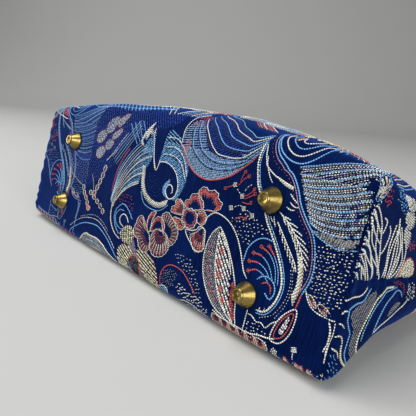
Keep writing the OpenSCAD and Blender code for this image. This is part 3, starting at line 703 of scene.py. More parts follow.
def curl(f):
    """Hook of ribs that turns over the fold into the front panel."""
    f.lines("sky", ("83 57, 84.5 50, 89 44.5, 96 41.5, 103 41, 109 44, 112.5 50, 112.5 60, 109 72, 102 86",
                    "88 62, 89.5 54, 93 49, 98 46.4, 102.6 47.4, 105.6 51, 106 57, 103 67, 96 80, 90 90"),
            1.0)
    f.lines("cream", ("85.5 60, 87 52, 91 46.5, 97 43.6, 103 44, 108 48, 109.5 54, 108.5 62, 104 74,"
                      "96 88", "94.6 56, 96 51.5, 99 49.6, 102 51.6, 102.4 56, 100 64, 93 78"), 1.0)
    f.line("coral", "92 50.5, 92.6 54, 90 59, 86 66, 81 74", 1.3)
    f.line("cream", "93.4 50, 94 54, 91.4 59.6, 87.4 67, 82.6 75", 0.9)


def sprigs(f):
    """Loose coral commas and cream dabs."""
    for a, b in ((69, 25), (75.4, 20.6), (78.2, 15), (70.2, 13.4), (84.4, 13)):
        f.blob("cream", a, b, 2.3, 20)
    for path in ("69 25, 66 23.6, 63.4 22", "71 25, 74 29, 76.4 30.8", "72 27, 72.4 30, 73.4 32.4",
                 "76.4 21, 79.4 22.6, 82 25.4", "77 19.6, 80 21.4, 83 23.4", "76 18, 79.4 17.8, 82 18.8",
                 "74.4 8.6, 77.4 10.8, 81 10.8"):
        f.comma("coral", path, 1.7)
    for path in ("70.4 24, 73 22, 75 21", "76 23, 77.6 26, 80 27.6", "71.4 14, 75 16, 77.6 15.6",
                 "79.4 15, 82.4 14.4, 84 13.2"):
        f.dash("cream", path, 0.7, 1.4, 0.6)


def peacock(f):
    """Ribbed tail of dotted lines at the right end of the base."""
    top, low = "103 40, 112 42, 124 46, 139 53", "115 18.5, 121 16.5, 130 16.5, 139 19"
    f.ribs(("sky",), top, low, 10, 0.75)
    a, b = evened(curve(top), 40), evened(curve(low), 40)
    for i in range(36):
        share = (i + 0.5) / 36
        f.dash("cream" if i % 3 else "grey", a + (b - a) * share, 1.0, 0.9, 0.55)
    f.fill("grey", "118 15.8, 123 13.2, 130 12, 139 14, 139 17.5, 130 15.6, 124 16.2", 0.8)
    f.line("sky", "116 16.4, 119 14.6, 124 12.6, 130 11.6, 139 13.4", 0.8)
    f.fill("coral", "128 16.8, 131 17.4, 133 17, 130 16", 0.6)
    f.dots("cream", "122.8 10.5, 139 11, 139 -11, 129 -12, 124 -7", 1.5, 0.75, 8, 0.7)
    f.lines("cream", ("136 -18, 137.4 -21, 137.8 -26, 137 -31",
                      "138.6 -18, 138.8 -24, 138.2 -30, 138.6 -36", "138.8 -38, 137.4 -41, 138.4 -44"), 0.9)
    f.line("cream", "122 -10, 125 -14.6, 130 -17, 139 -17.2", 0.9)
    f.petal("123.6 -11, 126 -11.6, 128.6 -14.6, 126 -14.4", (123.6, -11))
    f.petal("129 -13.4, 132 -12.9, 135.6 -15.6, 131.6 -16", (129, -13.4))
    f.blob("cream", 124.4, -36.4, 2.6, 20)
    f.line("cream", "124.4 -37, 124.6 -41", 0.7)


def fan_scroll(f):
    """Blue scroll with ribs and a wavy hook."""
    f.fill("sky", "-3 41, -1 33, -1 25, -7 15, -8.5 9.5, -16 5.5, -22 0, -26.5 4, -23 12, -17 20, -12 27,"
           "-9 35", 1.05, 28, 0.16, 1.05)
    for row in ("-1 27.5, -8 25, -14 21, -20 14.5, -25.5 6, -28.5 -3, -29.4 -10, -27 -19, -20 -26,"
                "-13 -28.5", "-7 16, -13 13.5, -19 8.5, -24 2, -27.5 -6, -28.6 -11",
                "-8 9.3, -16 5.2, -22 0, -26.6 -6.6, -28.4 -11.4"):
        path = f.line("cream", row, 0.85, 0.36)
        f.strokes.append(("ink", beside(path, 1.1), 0.8, 0.28))
    f.ribs(("cream", "ink", "ink"), "-2 31, -9 28, -15 23.5, -21 16.5, -26 8, -29 -2",
           "-8 10.4, -15 7.4, -21 2.6, -25 -3, -27.6 -8, -28.6 -12", 13, 0.6, 0.3)
    f.ribs(("sky", "cream"), "-14 34, -20 29.5, -26 22, -31 13, -32 2, -32.5 -7",
           "-4 32, -12 27, -19 19, -26 9, -30 -2, -31 -9", 5, 0.75)
    f.line("coral", "-25 28.5, -29.5 21.5, -33 12.5, -34 4, -33.6 -2", 1.2)
    f.ribs(("sky",), "-31 42, -24 38, -18 32", "-20 44, -13 40, -10 36", 4, 0.7)
    for line in ("-8 43, -11 40, -14 36, -12.6 33", "-10 38, -8 40.5, -5.6 40"):
        f.rope("cream", line, 1.8, 1.1)
    f.line("cream", "-4.6 42, -2 35, 0.4 28.4, 2.6 24, 5 20", 0.9)
    hook = curve("-5 -13, -10 -9, -17 -6, -22 -9, -24.4 -14, -22 -20.4, -16 -25.4, -12 -25", step=0.5)
    f.line("sky", beside(hook, 0.7 * np.abs(np.sin(np.arange(len(hook)) * 0.5))[:, None]), 0.9)
    f.line("sky", "-15 -10.4, -19.6 -10.8, -22.6 -15, -20 -19.8, -15 -22, -11.4 -21.6", 0.8)
    f.line("cream", "-8 -16.4, -11 -13.4, -14.6 -12.4, -17.4 -15, -16 -18.6, -12 -20", 0.95)
    f.dots("coral", "-24 -3, -14 2, -5 -6, -8 -10, -16 -5, -22 -7", 2.2, 0.6)


def pale_blossom(f):
    """Six pale petals with wine edges, and the lines beside them."""
    t = np.linspace(0, 2 * math.pi, 9)[:-1]
    petals = ((-41.5, 43, 4.8, 3.0, 33), (-51.4, 39.4, 6.4, 4.0, 33), (-60, 31.5, 6.2, 4.2, 35),
              (-42.6, 35.4, 6.4, 2.6, 33), (-49, 27.6, 5.4, 3.4, 30), (-57.5, 20.8, 5.8, 4.0, 33))
    for a, b, w, h, turn in petals:
        c, s = math.cos(math.radians(turn)), math.sin(math.radians(turn))
        p = np.column_stack([np.cos(t) * w, np.sin(t) * h * (1 + 0.12 * np.cos(3 * t))])
        p = p @ np.array([[c, s], [-s, c]]) + (a, b)
        f.fill("mist", p, 1.2, turn, 0.16, 1.0)
        f.fill("pearl", p, 1.8, turn + 60, 0.26, 0.55)
        f.line("wine", p, 1.1, 0.34, closed=True)
    f.dash("cream", "-48 16.4, -42 23, -37 29.6, -30 38", 0.9, 2.4, 0.7)
    f.dash("cream", "-50 15, -44 20.4, -38 26", 0.8, 2.0, 0.8)
    f.ribs(("sky", "grey"), "-42 20, -36 28, -28 37, -22 44", "-36 16, -30 25, -23 34, -17 41", 4, 0.7)
    f.dots("royal", "-88 18, -70 20, -66 -2, -84 2", 2.3, 0.8, 12)


def twig(f):
    """Beaded branches of the far half."""
    f.beads("cream", "-47.5 11, -49 5.5, -51.5 -0.5, -54.5 -8", 4.6, 2.3)
    f.beads("cream", "-69.5 -7, -66.5 -11, -62.5 -14, -58 -19.5", 4.2, 2.0)
    f.beads("cream", "-59 -8.5, -51.5 -11.5, -45 -14, -39 -17", 4.4, 2.1)
    f.dash("pearl", "-92 1, -87 -1, -79 -4, -71.5 -6", 1.0, 1.6, 0.5)
    f.line("grey", "-62 4, -58 -2, -56 -8", 0.7)
    f.dash("grey", "-68 20, -70 10, -68 2", 0.7, 0.9, 0.8)
    f.fill("coral", "-62 -18, -58 -17, -55 -19, -58 -21", 0.9)


def cloud(f):
    """Grey cloud under dotted arcs."""
    f.line("sky", "-78 -44, -70 -37, -60 -31, -50 -28.6, -40 -28, -30 -31, -20 -36, -12 -41.4", 0.9)
    f.dash("cream", "-76 -38, -68 -31, -58 -26.4, -46 -24.4, -36 -25.6, -26 -30, -16 -36", 0.9, 1.5, 0.9)
    f.dash("cream", "-66 -28, -56 -24, -46 -22, -36 -23.4, -26 -27.6", 0.7, 0.8, 1.2)
    edge = ("-66 -48, -58 -40.4, -53 -36.4, -47 -36.4, -38 -36, -30 -38, -22 -42, -16 -46, -20 -52,"
            "-34 -55, -50 -54, -62 -53")
    f.fill("grey", edge, 0.95, -8)
    f.line("cream", edge, 1.3, 0.36, closed=True)
    f.line("sky", "-56 -45, -48 -40, -38 -40, -28 -44, -32 -49, -44 -51", 0.9, 0.36, closed=True)
    f.fill("pearl", "-50 -46, -42 -43, -34 -45, -38 -48, -46 -48.6", 0.9, 0, 0.24)


def bark(f):
    """Three pale leaf fingers round a dark eye, with a red hook and dotted ground beside them."""
    fingers = {
        "-13 -26.5, -13 -22, -7 -17.5, -1.5 -19.5, 0.5 -23.5, -1 -28, -8 -29": -65,
        "-12.5 -35, -9 -30.5, -2 -30, 4 -32.5, 1 -38, -1 -43, -4 -54, -12 -50, -11 -40": -24,
        "7.5 -28.5, 15 -28, 23 -30, 27 -33.5, 30 -37.5, 32 -46, 26 -51, 20 -46, 16 -40, 8 -32": -18,
    }
    f.fill("grey", "0 -24, 4 -28, 10 -32, 15 -38, 19 -45, 22 -52, 8 -55, -6 -53, 0 -44, 2 -36, -3 -29",
           0.9, 60, 0.12)
    for finger, grain in fingers.items():
        f.fill("umber", finger, 1.0, grain + 90, 0.16, 1.2)
        f.fill("straw", finger, 1.75, grain, 0.3, 0.82)
        f.dash("coral", curve(finger, closed=True), 0.55, 1.4, 1.8, 0.36)
    eye_edge = "1 -37, 3.6 -34, 8 -33.2, 11 -35.2, 13 -38.5, 12.4 -43.4, 9 -46.4, 5.5 -45.6, 3 -42"
    f.fill("ink", eye_edge, 0.9, 0, 0.36, 1.2)
    f.line("wine", "3.4 -37.4, 5 -35.6, 8 -35, 10 -36.6", 1.2, 0.44)
    f.line("coral", eye_edge, 1.0, 0.44, closed=True)
    f.dash("cream", curve(eye_edge, closed=True), 0.5, 1.2, 1.4, 0.5)
    f.fill("sky", "27 -50, 31 -44, 36 -41, 39 -42, 36 -48, 31 -53", 0.85, 50)
    f.line("cream", "26 -50.6, 31 -43.4, 36.4 -40.4, 39.6 -42, 36 -48.6, 31 -53.6", 0.9, closed=True)
    f.line("coral", "34 -41, 32.4 -35, 34.6 -30, 40 -27.2, 48 -27.8, 55 -31.6, 61 -35.6", 0.95)
    f.dots("grey", "34 -33, 40 -29.6, 46 -31, 44 -38, 38 -41, 34.6 -39", 1.3, 0.6, 30)
    f.dots("cream", "40 -20.6, 52 -19, 62 -28, 68 -38, 60 -36, 54 -29, 47 -25.6", 1.9, 0.7, 15, 0.7)
    f.dots("cream", "47 -36, 51 -33.6, 56 -35.6, 64 -36, 74 -40.6, 68 -44, 58 -41.6, 50 -40.6", 1.8, 1.3,
           25, 0.85)
    f.line("cream", "44 -52, 50 -45, 58 -43, 66 -46, 72 -51, 64 -55, 54 -55", 0.9, closed=True)
    f.dots("cream", "50 -50, 58 -46, 66 -49, 60 -53", 1.6, 0.7)


def frill(f):
    """Frilled petals over the back fold."""
    top = "76 -38.4, 84 -39.6, 92 -39.6, 100 -39.4, 108 -37.8, 114 -36.2"
    low = "72 -51, 78 -48, 82 -50, 88 -48, 92 -50.6, 97 -48.6, 102 -51, 104 -48, 107 -45"
    for k in range(6):
        a = 77 + 5.6 * k
        f.petal([(a, -39.4), (a + 4.4, -40), (a + 5.2, -43.4), (a + 2.6, -47), (a - 1, -46),
                 (a - 1.6, -42)], (a + 2, -39), deep=0.3, finger=2.2, flush=0.5)
    f.line("cream", top, 1.0, 0.36)
    f.line("cream", low, 1.2, 0.36)
    f.feather("cream", "116 -50, 114 -45, 115.6 -40.6", 2.6, 1.6, 0.8)
    for a in (120, 126, 132):
        f.petal([(a, -42), (a + 1.6, -45), (a + 0.6, -50), (a - 1.8, -53), (a - 1.6, -47)], (a, -42),
                "cream", 0.2, 3, None, "coral", 0)
    f.dots("sky", "117 -44, 136 -43, 138 -56, 116 -58", 2.6, 1.2, 80)


def front_bands(f):
    """Long bands over the front panel above the base, with royal and sky floats over the far half's fold and
    the left of the base that are painted sheen.
    """
    f.ribs(("sky", "cream", "sky", "royal"), "112 52, 110 58, 106 65", "137 50, 133 58, 128 66", 9)
    f.line("coral", "130 50, 126 58, 121 66", 1.2)
    f.ribs(("cream", "coral", "grey", "coral"), "76 56, 70 61, 64 66", "64 56, 58 61, 53 66", 8, 1.2)
    # painted sheen: the next three royal and sky fills are lighter blue where light catches the satin at the
    # far fold and on the left of the base
    f.fill("royal", "-104 54, -98 36, -80 26, -56 20, -40 24, -26 32, -8 40, 12 46, 8 56, -8 66, -60 66,"
           "-98 66", 1.3, -35, 0.1, 0.95)
    f.fill("royal", "-108 30, -94 8, -72 -6, -48 6, -36 20, -56 20, -80 26", 1.7, -35, 0.08, 0.6)
    f.fill("sky", "-90 62, -76 52, -54 49, -30 50, -8 56, -16 65, -60 66, -84 65", 2.4, -35, 0.2, 0.7)
    f.lines("cream", ("0 51, -6 57, -14 64", "-3 50, -10 57, -17 64"), 1.0)
    f.line("sky", "-104 56, -82 48.6, -56 51, -30 53, -6 57", 1.0)
    f.ribs(("cream", "sky", "grey"), "2 52, 4 58, 6 66", "18 52, 20 58, 22 66", 5, 1.0)
    f.fill("coral", "-146 58, -138 53, -128 47, -116 42, -116 39.5, -130 42, -140 46, -146 52", 0.9, -30)
    f.lines("cream", ("-146 55, -144 48, -138 43, -128 40, -115 38", "-146 64, -134 56, -122 50, -108 47"),
            1.0)
    f.ribs(("sky", "royal"), "-142 68, -130 60, -116 54, -102 54", "-142 76, -128 70, -112 64, -98 66", 4,
           1.0)


def plumes(f):
    """Leaves in outline that fan out from the side seam, under a thick feathery flower."""
    f.petal("140 43.6, 139.6 48, 143 51, 148 48.6, 148 43.6", (147, 43.6), "pearl", 0.2, 3, None, "sky", 0.2)
    f.dots("coral", "146 49, 150 48, 153 54, 149 57, 146 54", 1.5, 0.8)
    f.lines("cream", ("184 69.5, 178 65, 172 62, 166 58, 160 54, 155 49, 150 43.4",
                      "183 61, 177 56.5, 170 50, 164 43.4", "184 58, 178 52.5, 172 47, 168 43.4",
                      "185 54, 180 49, 174 43.4", "178 64, 175 57, 171 50.5, 165 46, 160 43.4",
                      "168 59.5, 166 54, 163 48.5, 157 43.4", "185 50, 181 46.5, 178 43.4",
                      "159.5 62.5, 162 65, 167 65.4, 171 64, 172.5 61.5",
                      "157 55, 158 58.4, 161 58.6, 164 56.6, 161 54",
                      "181 66, 176 62.6, 172 57.6, 168 51, 162 46, 154 43.4",
                      "185 63, 180 59.6, 174 54, 169 48, 166 43.4", "184 56, 178 50.6, 171 43.4",
                      "176 61, 171 56.6, 165 52.6, 159 48.6, 153 43.2", "179 58.4, 174 50, 170 43.2",
                      "182 53, 178 48, 175.6 43.2", "164 56.6, 161 51, 156 46.6, 151 43.2"), 1.2)
    f.lines("cream", ("183 74, 178 73, 172 71, 165 71, 160 71.5, 155 69",
                      "182 77, 176 78, 170 77, 165 75, 160 70",
                      "181 77.5, 174 79.6, 168 80.4, 163 78, 158 73",
                      "183 80, 178 84, 173 85.4, 169 83, 164 79",
                      "183 75.4, 176 75, 168 73.6, 162 72.6, 157 70.6",
                      "183 72.4, 176 71, 169 68.6, 163 68, 158 68",
                      "183 78.8, 176 81.6, 170 80.6, 164 77, 159 71.6",
                      "184 82, 179 86.4, 174 88, 168 86, 163 82"), 1.3)
    for dab in ("144 72, 144 85, 149 84, 150 78, 147 74", "151 75, 151 83, 157 84, 158 80, 154 74",
                "158 77, 159 84, 164 87, 167 86, 163 80"):
        f.fill("cream", dab, 1.0, 75, 0.3, 1.3)
    f.dots("sky", "144 62, 148 62, 152 68, 152 75, 148 75, 144 70", 1.6, 0.9, 60)
    heart = "171 96, 172 91, 176 89, 183 90, 182 100, 178 106, 174 102"
    f.fill("cream", heart, 1.0, 70, 0.22, 1.4)
    f.fill("straw", heart, 2.4, 35, 0.34, 0.6)
    f.line("coral", heart, 1.2, 0.38, closed=True)
    f.dots("coral", "164 88, 168 88, 168 94, 164 94", 1.5, 0.8)
    f.ribs(("cream", "sky", "lilac", "cream", "royal"), "139 52, 133 66, 127 82, 121 98, 117 110",
           "143 60, 141 74, 138 88, 134 100, 130 112", 7, 1.0)
    for ink, pitch in (("cream", 1.8), ("sky", 2.6)):
        f.dots(ink, "142 43.4, 184 43.4, 184 46.5, 148 46.5", pitch, 1.3, 30, 0.6)


def eye(f):
    """Cloud edge and an eye below the side seam."""
    f.lines("cream", ("149 -41, 152 -44, 152.5 -48, 150 -50", "155 -42, 158.5 -45, 159 -48.5, 156 -50",
                      "161 -42, 163.5 -45, 163 -48", "166 -43, 169 -44.5, 170 -47",
                      "172 -43, 175 -47, 176 -51, 175 -56, 177 -60"), 1.1)
    f.line("straw", "124 -92, 128 -80, 132 -72, 137 -64, 142 -59, 147 -54, 152 -51, 156 -49.5", 2.0, 0.36)
    f.line("sky", "122 -97, 126 -88, 130 -78, 135 -69, 140 -62, 146 -57, 152 -54, 158 -55, 163 -52,"
           "168 -48.6, 171 -49, 172 -54, 171 -60, 174 -65", 1.4, 0.3)
    f.fill("grey", "146 -60, 152 -57, 158 -57.5, 164 -54, 169 -51, 170.5 -56, 170 -62, 172 -68, 169 -71,"
           "165 -70, 161 -66, 155 -63, 149 -63, 143 -68, 138 -76, 132 -88, 127 -100, 122 -112, 118 -118,"
           "116 -112, 124 -96, 130 -83, 137 -70, 142 -63", 0.8, 40)
    f.line("straw", "120 -116, 127 -100, 132 -88, 138 -76, 143 -68, 147 -64, 152 -63.4, 157 -65, 162 -68,"
           "166 -73, 167.5 -79, 167 -86", 1.7, 0.36)
    f.line("sky", "150 -66, 156 -67.5, 161 -71, 165 -77, 166 -85, 165 -91", 1.1)
    f.line("sky", "148 -76, 152 -76, 157 -79, 161 -83, 163.5 -89, 163 -95, 160 -96.5", 1.2)
    f.line("cream", "148 -77, 150 -84, 152 -91, 155 -97, 158 -103", 1.1)
    f.fill("grey", "153 -85, 156 -86, 158 -92, 157 -96, 154 -90", 0.8, 60)
    f.dots("coral", "166 -86, 169 -87, 169 -96, 163 -99, 160 -97, 166 -94", 1.4, 0.9, 60)
    f.dots("cream", "158 -102, 165 -102, 165 -110, 158 -110", 1.5, 0.8)
    f.petal("124 -50, 126 -45, 129 -42, 129 -46, 126 -51", (124, -50), "cream", 0.2, 3, None, "coral", 0)
    f.dots("cream", "130 -42, 140 -42, 138 -54, 131 -56", 2.2, 1.1, 70)
    f.dots("cream", "126 -62, 134 -60, 132 -70, 126 -74", 2.2, 1.0, 60)
    f.dots("sky", "140 -43.6, 152 -43.6, 146 -52, 138 -60, 132 -70, 122 -86, 126 -66, 132 -54", 2.2, 1.3, 60)


SEEN_PARTS = (blue_horn, shell_fan, peonies, pod, paisley, curl, sprigs, peacock, fan_scroll, pale_blossom,
              twig, cloud, bark, frill)
FAR_PARTS = (shell_fan, paisley, curl, sprigs, peacock, frill)


def drawn(*parts):
    """One figure with the given parts, drawn in order."""
    f = Figure()
    for part in parts:
        part(f)
    return f


def woven(figure):
    """All strokes of the cloth: the seen repeat, its neighbours and the same figure up the panels."""
    repeat = figure.repeat / MM
    seen = drawn(*SEEN_PARTS)
    far = drawn(*FAR_PARTS)
    ends = drawn(plumes, eye)
    strokes = seen.strokes + drawn(front_bands).strokes + ends.strokes + ends.moved(flip=True)
    # painted sheen: the far copy's cream and grey threads become mist and royal, duller and bluer as the
    # satin's sheen makes them look there
    strokes += far.moved(-repeat, thin=0.68, swap={"cream": "mist", "grey": "royal"})
    for row in (-2, -1, 1, 2):
        for step in (-0.5, 0.5) if row % 2 else (-1, 0, 1):
            strokes += cut(seen.moved(step * repeat, row * figure.rise / MM), on_panel)
    return strokes


def on_panel(a, b):
    """Which flat places lie on the panels, off the base, its front bands and the end panels' own figure."""
    front = (b > BANDS_TOP) & (np.abs(a) < FRONT_HALF)
    back = (b < BASE_BACK) & (np.abs(a) < BACK_HALF)
    return front | back | (np.abs(b) > ENDS_TOP)


def cut(strokes, test):
    """The parts of the strokes whose flat places pass the test."""
    kept = []
    for ink, path, width, height in strokes:
        good = test(path[:, 0], path[:, 1])
        edge = np.flatnonzero(np.diff(np.concatenate([[0], good.astype(int), [0]])))
        for start, stop in zip(edge[::2], edge[1::2]):
            if stop - start > 1:
                kept.append((ink, path[start:stop], width, height))
    return kept


def ribbon_mesh(name, runs, place):
    """Closed three-sided threads along each run of flat points, shaded as if their backs were round."""
    flat = np.vstack([r[1] for r in runs])
    count = np.array([len(r[1]) for r in runs])
    width = np.repeat([r[2] for r in runs], count)
    height = np.repeat([r[3] for r in runs], count)
    first = np.concatenate([[0], np.cumsum(count)[:-1]])
    last = first + count - 1
    p, n = place(flat[:, 0], flat[:, 1])
    way = np.zeros_like(p)
    way[:-1] += p[1:] - p[:-1]
    way[1:] += p[1:] - p[:-1]
    way[first] = p[first + 1] - p[first]
    way[last] = p[last] - p[last - 1]
    side = np.cross(n, way)
    side /= np.maximum(np.linalg.norm(side, axis=1, keepdims=True), 1e-9)
    width[first] *= THREAD_END
    width[last] *= THREAD_END
    left = p + side * (width / 2)[:, None] - n * THREAD_ROOT
    right = p - side * (width / 2)[:, None] - n * THREAD_ROOT
    top = p + n * height[:, None]
    verts = np.stack([left, top, right], axis=1).reshape(-1, 3) * MM
    here = np.setdiff1d(np.arange(len(p)), last) * 3
    quads = []
    for j, k in ((0, 1), (1, 2), (2, 0)):
        quads.append(np.column_stack([here + j, here + k, here + 3 + k, here + 3 + j]))
    ends = np.vstack([np.column_stack([first * 3, first * 3 + 2, first * 3 + 1]),
                      np.column_stack([last * 3, last * 3 + 1, last * 3 + 2])])
    step = np.linalg.norm(np.diff(p, axis=0, prepend=p[:1]), axis=1)
    step[first] = 0
    run = np.cumsum(step)
    phase = np.random.default_rng(3).uniform(0, 1.2, len(first))
    along = run - np.repeat(run[first] - phase, count)
    obj = mesh_object(name, verts, np.vstack(quads), ends)
    store(obj, "along", np.repeat(along, 3))
    return obj


def mesh_object(name, verts, quads, tris=None):
    """A smooth-shaded mesh from arrays."""
    mesh = bpy.data.meshes.new(name)
    faces = [np.asarray(quads, np.int32)]
    if tris is not None:
        faces.append(np.asarray(tris, np.int32))
    loops = np.concatenate([f.ravel() for f in faces])
    sizes = np.concatenate([np.full(len(f), f.shape[1], np.int32) for f in faces])
    mesh.vertices.add(len(verts))
    mesh.vertices.foreach_set("co", np.asarray(verts, np.float32).ravel())
    mesh.loops.add(len(loops))
    mesh.loops.foreach_set("vertex_index", loops)
    mesh.polygons.add(len(sizes))
    mesh.polygons.foreach_set("loop_start", np.concatenate([[0], np.cumsum(sizes)[:-1]]).astype(np.int32))
    mesh.polygons.foreach_set("use_smooth", np.ones(len(sizes), bool))
    mesh.update(calc_edges=True)
    mesh.validate()
    obj = bpy.data.objects.new(name, mesh)
    bpy.context.scene.collection.objects.link(obj)
    return obj


def store(obj, name, values):
    """Keeps one number or one vector per point for the materials."""
    values = np.asarray(values, np.float32)
    kind, key = ("FLOAT", "value") if values.ndim == 1 else ("FLOAT_VECTOR", "vector")
    obj.data.attributes.new(name, kind, "POINT").data.foreach_set(key, values.ravel())


def stack_faces(rows, n, closed=False):
    """Quads between stacked rings, outside facing out for rings that rise."""
    i, j = np.meshgrid(np.arange(rows if closed else rows - 1), np.arange(n), indexing="ij")
    k, m = (i + 1) % rows, (j + 1) % n
    return np.stack([i * n + j, i * n + m, k * n + m, k * n + j], axis=-1).reshape(-1, 4)


def capped(name, rings, ends):
    """A closed body of stacked rings in millimetres, shut at both ends by fans round the end points."""
    rows, n = rings.shape[:2]
    j = np.arange(n)
    k = (j + 1) % n
    low = np.column_stack([np.full(n, rows * n), k, j])
    high = np.column_stack([np.full(n, rows * n + 1), (rows - 1) * n + j, (rows - 1) * n + k])
    verts = np.vstack([rings.reshape(-1, 3), ends])
    return mesh_object(name, verts * MM, stack_faces(rows, n), np.vstack([low, high]))


def shrunk(ring, shares):
    """Copies of a ring drawn in towards its middle."""
    return ring[None] * np.stack([shares, shares, np.ones_like(shares)], axis=1)[:, None]


class Shade:
    """One socket of a material, for shader maths written as Python expressions."""

    def __init__(self, graph, socket):
        self.graph = graph
        self.socket = socket

    def maths(self, operation, a, b):
        vector = any(isinstance(v, Shade) and v.socket.type in {"VECTOR", "RGBA"} for v in (a, b))
        kind = "ShaderNodeVectorMath" if vector else "ShaderNodeMath"
        return self.graph.node(kind, {"operation": operation}, {0: a, 1: b})

    def __add__(self, other):
        return self.maths("ADD", self, other)

    def __sub__(self, other):
        return self.maths("SUBTRACT", self, other)

    def __mul__(self, other):
        return self.maths("MULTIPLY", self, other)

    def sine(self):
        return self.graph.node("ShaderNodeMath", {"operation": "SINE"}, {0: self})

    def part(self, axis):
        return self.graph.node("ShaderNodeSeparateXYZ", {}, {0: self}, "XYZ".index(axis))

    def between(self, low, high):
        """Runs smoothly from 0 at low to 1 at high."""
        settings = {"interpolation_type": "SMOOTHSTEP"}
        return self.graph.node("ShaderNodeMapRange", settings, {0: self, 1: low, 2: high})


class Graph:
    """The nodes of one material."""

    def __init__(self, name):
        self.material = bpy.data.materials.new(name)
        self.material.use_nodes = True
        self.tree = self.material.node_tree
        self.shader = next(n for n in self.tree.nodes if n.type == "BSDF_PRINCIPLED")

    def node(self, kind, settings, sockets, output=0):
        made = self.tree.nodes.new(kind)
        for name, value in settings.items():
            setattr(made, name, value)
        for key, value in sockets.items():
            if isinstance(value, Shade):
                self.tree.links.new(value.socket, made.inputs[key])
            else:
                made.inputs[key].default_value = value
        return Shade(self, made.outputs[output])

    def kept(self, name, vector=False):
        """A value stored on the mesh."""
        return self.node("ShaderNodeAttribute", {"attribute_name": name}, {}, "Vector" if vector else "Fac")

    def place(self):
        return self.node("ShaderNodeTexCoord", {}, {}, "Object")

    def noise(self, vector, scale, detail=3.0, rough=0.5):
        sockets = {"Vector": vector, "Scale": scale, "Detail": detail, "Roughness": rough}
        return self.node("ShaderNodeTexNoise", {}, sockets)

    def mix(self, factor, a, b):
        wide = [v if isinstance(v, Shade) else (*v, 1.0)[:4] for v in (a, b)]
        return self.node("ShaderNodeMix", {"data_type": "RGBA"}, {0: factor, 6: wide[0], 7: wide[1]}, 2)

    def bump(self, height, distance, strength=1.0):
        return self.node("ShaderNodeBump", {}, {"Strength": strength, "Distance": distance, "Height": height})

    def set(self, **values):
        for name, value in values.items():
            socket = self.shader.inputs[name.replace("_", " ").title().replace("Ior", "IOR")]
            if isinstance(value, Shade):
                self.tree.links.new(value.socket, socket)
            else:
                socket.default_value = value
        return self.material


def linear(rgb):
    """Scene-linear values of a display colour."""
    return tuple(c / 12.92 if c <= 0.04045 else ((c + 0.055) / 1.055) ** 2.4 for c in rgb)


def tinted(rgb, share):
    """A display colour made lighter or darker, scene-linear."""
    return linear([min(1.0, c * share) for c in rgb])


def satin_material(name, ground, light, roughness=0.45):
    """Warp-faced satin: fine twill lines, streaks along the warp and soft patches."""
    g = Graph(name)
    flat = g.kept("flat", True)
    twill = ((flat.part("X") + flat.part("Y") * 0.8) * 7.4).sine()
    streak = g.noise(flat * (1.6, 0.06, 1.0), 1.0, 4.0)
    patch = g.noise(flat * (0.03, 0.03, 0.03), 1.0, 3.0)
    share = twill * 0.16 + (streak - 0.5) * 0.9 + (patch - 0.5) * 0.5 + 0.3
    g.set(base_color=g.mix(share.between(0.0, 1.0), tinted(ground, 0.9), tinted(light, 0.8)))
    g.set(roughness=(streak - 0.5) * 0.25 + roughness)
    g.set(normal=g.bump(twill * 0.5 + streak, 0.00012, 0.5))
    blue = (*linear((0.22, 0.46, 1.0)), 1.0)
    return g.set(ior=1.05, specular_tint=blue, sheen_weight=0.42, sheen_roughness=0.32, sheen_tint=blue)


def thread_material(name, rgb):
    """Weft floats: light and dark turns along the thread."""
    g = Graph(name)
    along = g.kept("along")
    spot = g.noise(g.place(), 900.0, 2.0)
    turn = (along * 5.2 + spot * 3.0).sine() * 0.5 + 0.5
    worn = g.noise(g.place(), 70.0, 3.0)
    shade = turn * 0.75 + worn * 0.5
    g.set(base_color=g.mix(shade.between(0.2, 0.8), tinted(rgb, 0.45), tinted(rgb, 1.2)))
    g.set(roughness=worn * 0.2 + 0.5, normal=g.bump(turn, 0.00015, 0.6))
    return g.set(ior=1.25, sheen_weight=0.05, sheen_roughness=0.4)


def weave_material(name, rgb):
    """Plain cloth in object space, for tabs and lining."""
    g = Graph(name)
    at = g.place()
    warp = (at.part("X") * 9000.0).sine()
    weft = (at.part("Y") * 9000.0).sine()
    slub = g.noise(at * (400.0, 60.0, 400.0), 1.0, 3.0)
    share = warp * 0.2 + weft * 0.2 + slub
    g.set(base_color=g.mix(share.between(0.1, 0.9), tinted(rgb, 0.7), tinted(rgb, 1.15)))
    g.set(roughness=slub * 0.2 + 0.5, normal=g.bump(warp * weft + slub, 0.00015, 0.5))
    return g.set(sheen_weight=0.3, sheen_roughness=0.4)


def brass_material(name, rgb, dark, roughness):
    """Antiqued brass: tarnish in patches, fine lines from polishing, worn bright spots."""
    g = Graph(name)
    at = g.place()
    patch = g.noise(at, 160.0, 5.0, 0.6)
    fine = g.noise(at * (1.0, 1.0, 9.0), 700.0, 3.0)
    pits = g.noise(at, 1500.0, 2.0)
    tarnish = (patch + (fine - 0.5) * 0.35).between(0.38, 0.72)
    g.set(base_color=g.mix(tarnish, linear(rgb), linear(dark)), metallic=1.0)
    g.set(roughness=tarnish * 0.16 + (fine - 0.5) * 0.14 + roughness)
    g.set(normal=g.bump(fine * 0.6 + pits * 0.4, 0.00006, 0.5))
    return g.material


def board_material(name, rgb, metallic=0.0, roughness=0.7):
    """Plain board or steel with a fine grain."""
    g = Graph(name)
    grain = g.noise(g.place(), 300.0, 4.0)
    g.set(base_color=g.mix(grain, tinted(rgb, 0.75), tinted(rgb, 1.15)))
    return g.set(roughness=grain * 0.2 + roughness - 0.1, metallic=metallic)


def dress(obj, material):
    obj.data.materials.clear()
    obj.data.materials.append(material)


class Piece(bpy.types.Operator):
    """Shared ways of the bag's operators"""

    bl_options = {"REGISTER", "UNDO"}

    @property
    def loft(self):
        return Loft(bpy.context.scene.bag_shape)


